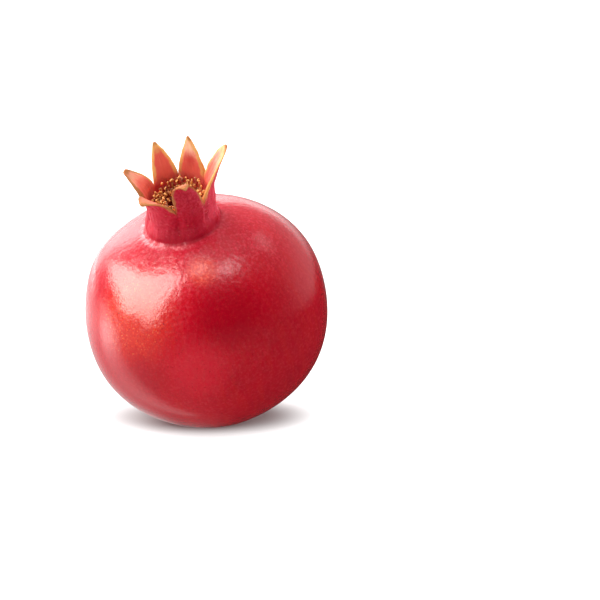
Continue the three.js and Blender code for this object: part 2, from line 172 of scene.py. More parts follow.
@dataclass(frozen=True)
class RindForm:
    """The fruit's outer form: the body, the neck, the cup inside it and the sepals."""

    belly_radius: float = 44.0
    stem_end_depth: float = 41.0
    crown_end_height: float = 40.0
    belly_fullness: float = 0.96
    end_fullness: float = 0.97
    rib_count: int = 6
    rib_height: float = 0.4
    rib_azimuth: float = 31.0
    dimple_depth: float = 3.0
    dimple_radius: float = 6.5
    collar_height: float = 0.12
    collar_radius: float = 16.0
    collar_width: float = 1.8
    hollow_radius: float = 21.5
    hollow_width: float = 3.5
    neck_base: float = 12.75
    neck_height: float = 10.6
    neck_waist: float = 0.3
    neck_lobe: float = 0.4
    neck_straight: float = 0.1
    crease_fillet: float = 1.3
    rim_radius: float = 11.55
    wall: float = 2.7
    margin_thinning: float = 0.38
    margin_shape: float = 2.2
    tip_thinning: float = 0.62
    crown_bend: float = 6.7
    crown_bend_toward: float = -36.0
    cup_depth: float = 10.0
    cup_narrowing: float = 0.3
    cup_taper: float = 1.2
    moat_depth: float = 0.8
    dome_height: float = 3.2
    moat_at: float = 0.12
    sepals: tuple[Sepal, ...] = (
        Sepal(
            notch=-91, length=17.2, lean=-7, curl=38, drift=-0.27, gutter=0.9, roll=0.5, taper=3,
            slim=0.1, blush=0.35, fold=95, hook=0.15,
        ),
        Sepal(
            notch=-40, length=22.2, lean=24, curl=4, drift=-0.01, gutter=0.8, roll=0.3, taper=3.3,
            blush=0.5, tip=0.9,
        ),
        Sepal(
            notch=35, length=18, lean=5, curl=-4, drift=0.02, gutter=0.6, roll=0.3, taper=1.5,
            blush=0.95, stain=1.0, tip=0.2,
        ),
        Sepal(
            notch=90, length=15.4, lean=18, curl=4, drift=0.02, gutter=0.6, roll=0.3, taper=1.8,
            slim=0.2, blush=0.1,
        ),
        Sepal(
            notch=139, length=13.2, lean=30, curl=18, drift=0, gutter=0.9, roll=0.2, taper=1.8,
            blush=0.6, tip=0.9,
        ),
        Sepal(
            notch=196, length=13.6, lean=13, curl=80, drift=0.02, gutter=0.7, roll=0.3, taper=2,
            blush=0.4, tip=0.7,
        ),
    )
    fold_from: float = 0.74
    slope_steps: int = 24

    @property
    def crease_travel(self) -> float:
        """Way along the skin from the stem end to the crease, as flow places count it."""
        return self.belly_radius * self.crease_angle()

    @property
    def rim_travel(self) -> float:
        """Way along the skin from the stem end to the crown's rim."""
        return self.crease_travel + self.neck_height

    def body_point(self, angle: Array | float, azimuth: Array | float) -> Array:
        """Points of the body's surface.

        Args:
            angle: 0 at the stem end and pi at the crown end, in radians.
            azimuth: Azimuth in the fruit's frame, in radians.

        Returns:
            Points in the fruit's frame.
        """
        wave = np.cos(self.rib_count * (azimuth - math.radians(self.rib_azimuth)))
        rib = self.rib_height * wave * np.sin(angle) ** 3
        radius = self.belly_radius * np.sin(angle) ** self.belly_fullness + rib
        height = np.abs(np.cos(angle)) ** self.end_fullness
        collar = bell(radius, self.collar_radius, self.collar_width)
        collar = collar - bell(radius, self.hollow_radius, self.hollow_width)
        crown_half = self.crown_end_height * height + self.collar_height * collar
        dimple = self.dimple_depth * bell(radius, 0.0, self.dimple_radius)
        stem_half = dimple - self.stem_end_depth * height
        return polar(radius, azimuth, np.where(np.cos(angle) < 0, crown_half, stem_half))

    def angle_at_radius(self, radius: float) -> float:
        """Angle at which the stem's half of the body is this far from the axis."""
        return math.asin((radius / self.belly_radius) ** (1 / self.belly_fullness))

    def crease_angle(self) -> float:
        """Angle of the crease where the neck leaves the body."""
        return math.pi - self.angle_at_radius(self.neck_base + self.crease_fillet)

    def crown_to_fruit(self, points: Array) -> Array:
        """Moves points of the crown's frame into the fruit's frame, with the crown's bend.

        Args:
            points: Points in the crown's frame, in millimetres.

        Returns:
            The points in the fruit's frame.
        """
        bend = math.radians(self.crown_bend) * smooth(points[..., 2] / self.neck_height)
        centre = self.body_point(self.crease_angle(), 0.0) * np.array([0.0, 1.0, 1.0])
        return lean_over(points, bend, math.radians(self.crown_bend_toward)) + centre

    def span(self, index: int) -> Triple:
        """Azimuths of a sepal's notch and middle, and half its span, in radians.

        Args:
            index: Which sepal.

        Returns:
            The azimuth of its notch, the azimuth of its middle and half its span.
        """
        first = self.sepals[index].notch
        following = index + 1 < len(self.sepals)
        last = self.sepals[index + 1].notch if following else self.sepals[0].notch + 360
        return math.radians(first), math.radians((first + last) / 2), math.radians((last - first) / 2)

    def half_wall(self, across: Array | float) -> Array | float:
        """Half the wall's thickness at a place across a sepal, from -1 to 1."""
        return self.wall / 2 * (1 - self.margin_thinning * np.abs(across) ** self.margin_shape)

    def neck_radius(self, height: float, across: Array) -> Array:
        """Outer radius of the neck, with its slight waist and its lobes.

        Args:
            height: Height over the crease, in millimetres.
            across: Places across a sepal, from -1 to 1.

        Returns:
            The radius at each place.
        """
        share = height / self.neck_height
        to_rim = smooth((share - self.neck_straight) / (1 - self.neck_straight))
        lobe = self.neck_lobe * np.cos(math.pi * across) * smooth(4 * share) * (1 - to_rim)
        waist = self.neck_waist * math.sin(math.pi * share) ** 2
        return lerp(self.neck_base, self.rim_radius + self.half_wall(across), to_rim) - waist + lobe

    def cup_radius(self, share: Array | float, half: Array | float) -> Array:
        """Radius of the cup's wall at a share of its depth."""
        deep = self.rim_radius - self.wall / 2 - self.cup_narrowing
        return lerp(self.rim_radius - half, deep, smooth(2 * share)) - self.cup_taper * share

    def cup_floor(self, share: Array | float) -> Array:
        """Height of the cup's floor at a share of the way from its edge to its middle.

        Args:
            share: 0 at the edge and 1 in the middle.

        Returns:
            The height in the crown's frame.
        """
        dome = self.dome_height * smooth((share - self.moat_at) / (1 - self.moat_at))
        moat = self.moat_depth * smooth(share / self.moat_at)
        return self.neck_height - self.cup_depth - moat + dome

    def folded(self, along: Array | float) -> Array:
        """How much of a sepal's fold is reached at a place along it."""
        return smooth((along - self.fold_from) / (1 - self.fold_from))

    def sepal_slope(self, sepal: Sepal, along: Array | float) -> Array:
        """Outward slope of a sepal's centre line, in radians."""
        slope = sepal.lean * smooth(along / 0.45) + sepal.curl * along**2
        return np.radians(slope + sepal.fold * self.folded(along))

    def sepal_middle(self, index: int, across: Array, along: float) -> tuple[Array, Array, float]:
        """Middle of a sepal's thickness in one row across it.

        Args:
            index: Which sepal.
            across: Places from -1 at its near margin to 1 at its far one.
            along: 0 at the rim and 1 at the tip.

        Returns:
            The points and outward normals in the crown's frame, and the row's half width.
        """
        sepal = self.sepals[index]
        _, middle, half_span = self.span(index)
        steps = np.arange(self.slope_steps)
        slopes = self.sepal_slope(sepal, along * (steps + 0.5) / self.slope_steps)
        stride = sepal.length * along / self.slope_steps
        centre_out, centre_up = stride * np.sin(slopes).sum(), stride * np.cos(slopes).sum()
        slope = float(self.sepal_slope(sepal, along))
        slim = 1 - sepal.slim * np.maximum(across, 0) * smooth(along / 0.3)
        outline = (1 - along**sepal.taper) ** 0.9
        width = half_span * self.rim_radius * outline + sepal.tip * along**2
        radius = self.rim_radius / lerp(1, sepal.gutter, smooth(along / 0.5))
        turn = across * width * slim / radius
        roll = sepal.roll * np.abs(across) ** 3 * smooth(along / 0.35) * (1 - along) ** 0.4
        inward = radius * (1 - np.cos(turn)) - roll
        sway = sepal.drift * along**2 + sepal.hook * self.folded(along)
        side = radius * np.sin(turn) + sway * sepal.length
        out = self.rim_radius + centre_out - inward * math.cos(slope)
        up = self.neck_height + centre_up + inward * math.sin(slope)
        cosine, sine = math.cos(middle), math.sin(middle)
        points = np.stack([out * cosine - side * sine, out * sine + side * cosine, up], axis=-1)
        outward, sideways = math.cos(slope) * np.cos(turn), np.sin(turn)
        x, y = outward * cosine - sideways * sine, outward * sine + sideways * cosine
        normals = np.stack([x, y, -math.sin(slope) * np.cos(turn)], axis=-1)
        return points, normals, width


class Mark(Enum):
    """What a mesh tells its finish at each point."""

    CROWN = "crown"  # 0 on the body, 1 on the neck and the sepals
    INSIDE = "inside"  # 0 on outer faces, 1 on inner ones
    ALONG = "along"  # 0 at the rim, 1 at a sepal's tip
    MARGIN = "margin"  # millimetres to a sepal's nearest margin
    CREASE = "crease"  # millimetres outside the crease, below 0 on the neck
    TONE = "tone"  # a draw for each piece of a bunch, or a sepal's paleness
    CUT = "cut"  # 1 on a cut or sunken face
    STAIN = "stain"  # how dark the patch on a sepal's inner face is


@dataclass
class Skin:
    """Collects the points of one surface, with their marks, and its faces."""

    points: list[Array] = field(default_factory=list)
    flows: list[Array] = field(default_factory=list)
    marks: dict[Mark, list[Array]] = field(default_factory=dict)
    faces: list[tuple[int, ...]] = field(default_factory=list)
    count: int = 0

    def add_row(self, points: Array, flow: Array | None = None, **marks: Array | float) -> Array:
        """Adds a row of points.

        Args:
            points: The points, in rows of three.
            flow: For each point, a place whose third value runs along the grain.
            **marks: Marks of these points, by the lower-case name of the mark.

        Returns:
            The numbers of the new points.
        """
        points = np.atleast_2d(points)
        self.points.append(points)
        self.flows.append(points if flow is None else np.atleast_2d(flow))
        for mark in Mark:
            value = marks.get(mark.value, 0.0)
            self.marks.setdefault(mark, []).append(np.broadcast_to(value, len(points)).astype(float))
        first = self.count
        self.count += len(points)
        return np.arange(first, self.count)

    def add_strip(self, a: Sequence[int], b: Sequence[int]) -> None:
        """Joins two rows of equal length by faces that look to the left of row a."""
        for i in range(len(a) - 1):
            self.faces.append((int(a[i]), int(a[i + 1]), int(b[i + 1]), int(b[i])))

    def add_band(self, a: Array, b: Array) -> None:
        """Joins two closed rows of equal length."""
        self.add_strip(np.append(a, a[0]), np.append(b, b[0]))

    def add_fan(self, centre: int, row: Array) -> None:
        """Joins a closed row to one point."""
        for i, point in enumerate(row):
            self.faces.append((int(centre), int(point), int(row[(i + 1) % len(row)])))

    def add_halving_band(self, fine: Array, coarse: Array) -> None:
        """Joins a closed row to one that has half as many points.

        Args:
            fine: The row with more points.
            coarse: The row with half as many, whose first point meets its first.
        """
        for i, corner in enumerate(coarse):
            following = int(coarse[(i + 1) % len(coarse)])
            a, b, c = (int(fine[(2 * i + k) % len(fine)]) for k in range(3))
            self.faces += [(a, b, int(corner)), (b, following, int(corner)), (b, c, following)]

    def all_points(self) -> Array:
        """All the points in one array."""
        return np.concatenate(self.points)

    def all_flows(self) -> Array:
        """All the flow places in one array."""
        return np.concatenate(self.flows)

    def all_marks(self, mark: Mark) -> Array:
        """One mark of all the points."""
        return np.concatenate(self.marks[mark])


def skin_normals(points: Array, faces: list[tuple[int, ...]]) -> Array:
    """Outward unit normals of a closed surface's points.

    Args:
        points: The points, in rows of three.
        faces: The faces, by the numbers of their points.

    Returns:
        A normal for each point.
    """
    mesh = bpy.data.meshes.new("normals")
    mesh.from_pydata(points.tolist(), [], faces)
    normals = np.empty(len(points) * 3, np.float32)
    mesh.vertex_normals.foreach_get("vector", normals)
    bpy.data.meshes.remove(mesh)
    return normals.reshape(-1, 3).astype(float)


@dataclass(frozen=True)
class Workshop:
    """Turns skins into the object's pieces, set down in the row frame."""

    stance: Stance = Stance()
    body: str = "root"

    def make_piece(self, name: str, skin: Skin, places: Array, material: bpy.types.Material) -> Piece:
        """Makes a piece that rides on the part's one body.

        Args:
            name: The piece's name.
            skin: Its faces, marks and undisturbed points in the fruit's frame.
            places: Its final points in the fruit's frame, in millimetres.
            material: Its finish.

        Returns:
            The new object.
        """
        row = self.stance.to_row(places)
        row[:, 2] = np.maximum(row[:, 2], 0.0)
        mesh = bpy.data.meshes.new(name)
        mesh.from_pydata((row * MILLIMETRE).tolist(), [], skin.faces)
        mesh.polygons.foreach_set("use_smooth", [True] * len(mesh.polygons))
        for label, vectors in (("place", skin.all_points()), ("flow", skin.all_flows())):
            attribute = mesh.attributes.new(label, "FLOAT_VECTOR", "POINT")
            attribute.data.foreach_set("vector", vectors.astype(np.float32).ravel())
        for mark in Mark:
            values = skin.all_marks(mark).astype(np.float32)
            if values.any():
                mesh.attributes.new(mark.value, "FLOAT", "POINT").data.foreach_set("value", values)
        mesh.materials.append(material)
        piece = bpy.data.objects.new(name, mesh)
        bpy.context.scene.collection.objects.link(piece)
        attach(piece, self.body)
        return piece


@dataclass(frozen=True)
class RindSkin:
    """The fine mesh of the rind, one closed surface from the stem's dimple to the sepals' tips."""

    form: RindForm
    sepal_columns: int = 33
    body_rings: int = 164
    fillet_rings: int = 4
    neck_rings: int = 20
    sepal_rows: int = 36
    cup_rings: int = 14
    floor_rings: int = 8
    edge_points: int = 3
    inset: float = 0.12
    swell_pitch: float = 26.0
    swell_height: float = 0.09
    pebble_pitch: float = 1.5
    pebble_height: float = 0.07
    pebble_patch: float = 9.0
    pebble_fade: Span = (-18.0, 22.0)
    pucker_height: float = 0.12
    pucker_reach: float = 1.8
    pucker_counts: Span = (0.34, 0.12)
    shoulder_place: Triple = (-33.0, 8.0, 25.5)
    shoulder_swell: float = 1.1
    shoulder_reach: float = 14.0
    foot_swell: float = 0.55
    foot_height: float = 1.0
    foot_spread: float = 3.0
    tuck_height: float = 0.7
    thinning: float = 1.0
    thinning_azimuth: float = 190.0
    thinning_height: float = 7.5
    groove_depth: float = 0.5
    groove_width: float = 1.0
    groove_foot: Span = (2.0, 7.0)
    groove_head: float = 0.6
    furrow_depth: float = 0.14
    furrow_counts: Span = (0.3, 0.1)
    furrow_lump: float = 2.2
    ripple: float = 0.22
    ripple_pitch: float = 3.4
    rest_radius: float = 9.0
    rest_height: float = 10.0

    def columns(self, count: int) -> tuple[Array, Array]:
        """Azimuths and places across a sepal of a closed row with this many columns a sepal.

        Args:
            count: How many columns a sepal spans.

        Returns:
            The azimuths in radians, and the places from -1 to 1.
        """
        across = 2 * np.arange(count) / count - 1
        spans = [self.form.span(index) for index in range(len(self.form.sepals))]
        azimuths = np.concatenate([middle + across * half for _, middle, half in spans])
        return azimuths, np.tile(across, len(spans))

    def flow(self, azimuth: Array | float, travel: Array | float) -> Array:
        """Place for streaks: they run along the third value, which counts millimetres of travel."""
        return polar(self.form.belly_radius, azimuth, travel)

    def thinned(self, azimuth: Array | float) -> Array:
        """How much thinner than the solid's the crown's wall is outside, most on one side."""
        return self.thinning * smooth((1 + np.cos(azimuth - math.radians(self.thinning_azimuth))) / 2)

    def notch_distance(self, across: Array) -> Array:
        """Millimetres along the rim from a row's places to the nearest notch."""
        halves = [self.form.span(index)[2] for index in range(len(self.form.sepals))]
        return (1 - np.abs(across)) * np.repeat(halves, self.sepal_columns) * self.form.rim_radius

    def edge_turns(self) -> Array:
        """Angles of the points that round an edge off, from one face to the other."""
        return math.pi * np.arange(1, self.edge_points + 1) / (self.edge_points + 1)

    def shouldered(self, points: Array) -> Array:
        """Points of the body, pushed out at its fuller shoulder.

        Args:
            points: Points in the fruit's frame, in rows of three.

        Returns:
            The moved points.
        """
        centre = np.array(self.shoulder_place)
        share = bell(np.linalg.norm(points - centre, axis=-1, keepdims=True), 0.0, self.shoulder_reach)
        return points + self.shoulder_swell * share * centre / np.linalg.norm(centre)

    def add_body(self, skin: Skin) -> Array:
        """Adds the body from the stem end up to the crease.

        Args:
            skin: The surface that grows.

        Returns:
            The numbers of the points along the crease.
        """
        azimuths, _ = self.columns(2 * self.sepal_columns)
        reach = self.form.crease_travel
        pole = skin.add_row(self.form.body_point(0.0, 0.0), self.flow(0.0, 0.0), crease=reach, margin=FAR)
        row = None
        for i in range(1, self.body_rings + 1):
            share = i / self.body_rings
            points = self.shouldered(self.form.body_point(self.form.crease_angle() * share, azimuths))
            flow = self.flow(azimuths, reach * share)
            following = skin.add_row(points, flow, crease=reach * (1 - share), margin=FAR)
            if row is None:
                skin.add_fan(int(pole[0]), following[::-1])
            else:
                skin.add_band(row, following)
            row = following
        return row

    def add_neck(self, skin: Skin, crease_row: Array) -> Array:
        """Adds the rounded crease and the outside of the neck.

        Args:
            skin: The surface that grows.
            crease_row: The body's last row.

        Returns:
            The numbers of the rim's outer row.
        """
        form = self.form
        azimuths, across = self.columns(self.sepal_columns)
        to_notch = self.notch_distance(across)
        rows = []
        for i in range(1, self.fillet_rings + 1):
            share = i / self.fillet_rings
            outward = lerp(form.crease_fillet, self.foot_swell, smooth(share * 1.4))
            rows.append((np.full(len(azimuths), form.neck_base + outward), self.tuck_height * share**2))
        foot, full = self.groove_foot
        for i in range(1, self.neck_rings + 1):
            height = lerp(self.tuck_height, form.neck_height, i / self.neck_rings)
            swell = self.foot_swell * bell(height, self.foot_height, self.foot_spread)
            swell = swell - self.thinned(azimuths) * smooth(height / self.thinning_height)
            share = smooth((height - foot) / (full - foot))
            share *= smooth((form.neck_height - height) / self.groove_head)
            groove = self.groove_depth * bell(to_notch, 0.0, self.groove_width) * share
            rows.append((form.neck_radius(height, across) + swell - groove, height))
        row = crease_row
        for i, (radius, height) in enumerate(rows):
            points = form.crown_to_fruit(polar(radius, azimuths, height))
            margin = np.hypot(to_notch, form.neck_height - height)
            flow = self.flow(azimuths, form.crease_travel + height)
            following = skin.add_row(points, flow, crown=1.0, margin=margin, crease=-height)
            join = skin.add_halving_band if i == 0 else skin.add_band
            join(row, following)
            row = following
        return row

    def add_rim(self, skin: Skin) -> tuple[Array, list[Array]]:
        """Adds the inner row on the rim and the rounded points at each notch.

        Args:
            skin: The surface that grows.

        Returns:
            The rim's inner row, and for each notch the points over its edge.
        """
        form = self.form
        azimuths, across = self.columns(self.sepal_columns)
        marks = {"crown": 1.0, "crease": -FAR}
        flow = self.flow(azimuths, form.rim_travel + form.wall)
        inner_radius = form.rim_radius - form.half_wall(across)
        points = form.crown_to_fruit(polar(inner_radius, azimuths, form.neck_height))
        inner = skin.add_row(points, flow, inside=1.0, margin=self.notch_distance(across), **marks)
        notches = []
        half, turn = form.half_wall(1.0), self.edge_turns()
        for index in range(len(form.sepals)):
            azimuth = form.span(index)[0]
            height = form.neck_height + 0.45 * half * np.sin(turn)
            inside = (1 - np.cos(turn)) / 2
            radius = form.rim_radius + half * np.cos(turn) - self.thinned(azimuth) * (1 - inside)
            points = form.crown_to_fruit(polar(radius, azimuth, height))
            flow = self.flow(azimuth, form.rim_travel + form.wall * inside)
            notches.append(skin.add_row(points, flow, inside=inside, **marks))
        return inner, notches

    def sepal_ring(self, skin: Skin, index: int, along: float) -> Array:
        """Adds one closed ring round a sepal: outer face, far edge, inner face, near edge.

        Args:
            skin: The surface that grows.
            index: Which sepal.
            along: 0 at the rim and 1 at the tip.

        Returns:
            The numbers of the ring's points.
        """
        form, sepal = self.form, self.form.sepals[index]
        _, middle, half_span = form.span(index)
        across = 2 * np.arange(self.sepal_columns + 1) / self.sepal_columns - 1
        points, normals, width = form.sepal_middle(index, across, along)
        place = polar(form.rim_radius, middle + across * half_span, sepal.length * along)
        wave = noise_at(place, self.ripple_pitch, shift=7.0)
        wave = wave + 0.5 * noise_at(place, self.ripple_pitch / 2, shift=3.0)
        sway = self.ripple * wave * (0.25 + np.abs(across) ** 3) * smooth(along / 0.2) * (1 - along**3)
        points = points + normals * sway[:, None]
        half = form.half_wall(across) * (1 - form.tip_thinning * smooth(along / 0.9))
        thinned = self.thinned(middle + across * half_span) * (1 - smooth(along / 0.35))
        outer, inner = points + normals * (half - thinned)[:, None], points - normals * half[:, None]
        sideways = unit((outer[-1] + inner[-1] - outer[0] - inner[0]) / 2)
        turn = self.edge_turns()
        share = ((1 - np.cos(turn)) / 2)[:, None]

        def edge(start: Array, end: Array, way: float) -> Array:
            """Points of the rounded edge between the two faces."""
            proud = 0.35 * np.linalg.norm(end - start) * np.sin(turn)[:, None]
            return lerp(start, end, share) + way * proud * sideways

        far, near = edge(outer[-1], inner[-1], 1.0), edge(inner[0], outer[0], -1.0)
        ring = np.concatenate([outer, far, inner[::-1], near])
        ones, ends = np.ones(self.edge_points), share[:, 0]
        places = np.concatenate([across, ones, across[::-1], -ones])
        inside = np.concatenate([0 * across, ends, 0 * across + 1, 1 - ends])
        travel = form.rim_travel + sepal.length * along + form.wall * inside
        return skin.add_row(
            form.crown_to_fruit(ring),
            self.flow(middle + places * half_span, travel),
            crown=1.0,
            inside=inside,
            along=along,
            margin=np.minimum((1 - np.abs(places)) * width, 0.6 * sepal.length * (1 - along)),
            crease=-FAR,
            tone=sepal.blush,
            stain=sepal.stain * bell(along, 0.48, 0.16) * bell(places, 0.0, 0.55),
        )

    def add_sepal(self, skin: Skin, index: int, rim_ring: Array) -> None:
        """Raises a sepal from its ring on the rim to its blunt tip.

        Args:
            skin: The surface that grows.
            index: Which sepal.
            rim_ring: The numbers of its ring on the rim.
        """
        ring = rim_ring
        for i in range(1, self.sepal_rows + 1):
            following = self.sepal_ring(skin, index, i / self.sepal_rows)
            skin.add_band(ring, following)
            ring = following
        face, edge = self.sepal_columns + 1, self.edge_points
        outer, far, inner, near = np.split(ring, [face, face + edge, 2 * face + edge])
        inner = inner[::-1]
        skin.add_strip(outer, inner)
        skin.faces.append(tuple(int(i) for i in (*near, outer[0], inner[0])))
        skin.faces.append(tuple(int(i) for i in (outer[-1], *far, inner[-1])))

    def add_cup(self, skin: Skin, rim_row: Array) -> None:
        """Adds the inside of the crown, from the rim down the wall and over the domed floor.

        Args:
            skin: The surface that grows.
            rim_row: The numbers of the rim's inner row.
        """
        form = self.form
        azimuths, across = self.columns(self.sepal_columns)
        rows = []
        for i in range(1, self.cup_rings + 1):
            share = i / self.cup_rings
            height = form.neck_height - form.cup_depth * share
            rows.append((form.cup_radius(share, form.half_wall(across)), height))
        edge = float(form.cup_radius(1.0, form.half_wall(0.0)))
        for i in range(1, self.floor_rings):
            share = i / self.floor_rings
            rows.append((np.full(len(azimuths), edge * (1 - share)), float(form.cup_floor(share))))
        marks = {"crown": 1.0, "inside": 1.0, "margin": 9.0, "crease": -FAR}
        row = rim_row
        for i, (radius, height) in enumerate(rows):
            points = form.crown_to_fruit(polar(radius, azimuths, height))
            flow = self.flow(azimuths, form.rim_travel + form.wall + i)
            following = skin.add_row(points, flow, cut=smooth(i / 6), **marks)
            skin.add_band(row, following)
            row = following
        middle = form.crown_to_fruit(np.array([0.0, 0.0, float(form.cup_floor(1.0))]))
        skin.add_fan(int(skin.add_row(middle, cut=1.0, **marks)[0]), row)

    def build_skin(self) -> Skin:
        """The rind's undisturbed surface, in the fruit's frame.

        Returns:
            The surface, with its marks and faces.
        """
        skin = Skin()
        outer_rim = self.add_neck(skin, self.add_body(skin))
        inner_rim, notches = self.add_rim(skin)
        columns = self.sepal_columns
        for index in range(len(self.form.sepals)):
            places = (index * columns + np.arange(columns + 1)) % len(outer_rim)
            far = notches[(index + 1) % len(notches)]
            near = notches[index][::-1]
            ring = np.concatenate([outer_rim[places], far, inner_rim[places][::-1], near])
            self.add_sepal(skin, index, ring)
        self.add_cup(skin, inner_rim)
        return skin

    def relief(self, skin: Skin, stance: Stance) -> Array:
        """How far each point stands out along its normal, in millimetres.

        Args:
            skin: The undisturbed surface.
            stance: How the fruit lies.

        Returns:
            A height for each point.
        """
        places, flows = skin.all_points(), skin.all_flows()
        crown, crease = skin.all_marks(Mark.CROWN), skin.all_marks(Mark.CREASE)
        body = 1 - crown
        low, full = self.pebble_fade
        upper = smooth((places[:, 2] - low) / (full - low))
        swells = noise_at(places, self.swell_pitch) + 0.35 * noise_at(places, self.swell_pitch / 2.4)
        height = self.swell_height * (swells - 0.55) * body
        patches = smooth(noise_at(places, self.pebble_patch) + 0.5)
        strength = body * lerp(0.3, 1.0, upper) * lerp(0.6, 1.0, patches)
        height += self.pebble_height * (pebbles_at(places, self.pebble_pitch) - 1) * strength
        puckers = 0.35 - np.abs(noise_at(drawn_out(flows, *self.pucker_counts), 1.0)) * 1.6
        ring = bell(crease, 1.0, self.pucker_reach) * body * smooth(crease / 0.4)
        height += self.pucker_height * puckers * ring
        streaks = noise_at(drawn_out(flows, *self.furrow_counts), 1.0, shift=5.0)
        lumps = noise_at(places, self.furrow_lump, shift=9.0) + 0.5 * noise_at(places, 1.0, shift=4.0)
        height += self.furrow_depth * (streaks + lumps - 1.0) * crown * (1 - skin.all_marks(Mark.CUT))
        row = stance.to_row(places)
        near_rest = bell(np.hypot(row[:, 0], row[:, 1]), 0.0, self.rest_radius)
        return (height - self.inset * body) * (1 - near_rest * (row[:, 2] < self.rest_height))


@dataclass
class Rind:
    """The leathery rind with its neck and its six sepals, one skin in two finishes."""

    workshop: Workshop
    skin: RindSkin
    finish: "RindFinish"
    crown_finish: "CalyxFinish"

    def build(self) -> Piece:
        """Builds and dresses the rind.

        Returns:
            The rind.
        """
        skin = self.skin.build_skin()
        points = skin.all_points()
        normals = skin_normals(points, skin.faces)
        relief = self.skin.relief(skin, self.workshop.stance)
        places = points + normals * relief[:, None]
        piece = self.workshop.make_piece("rind", skin, places, self.finish.material())
        piece.data.materials.append(self.crown_finish.material())
        crown = skin.all_marks(Mark.CROWN)
        in_crown = [int(any(crown[i] > 0.5 for i in face)) for face in skin.faces]
        piece.data.polygons.foreach_set("material_index", in_crown)
        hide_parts("fruit")
        return piece


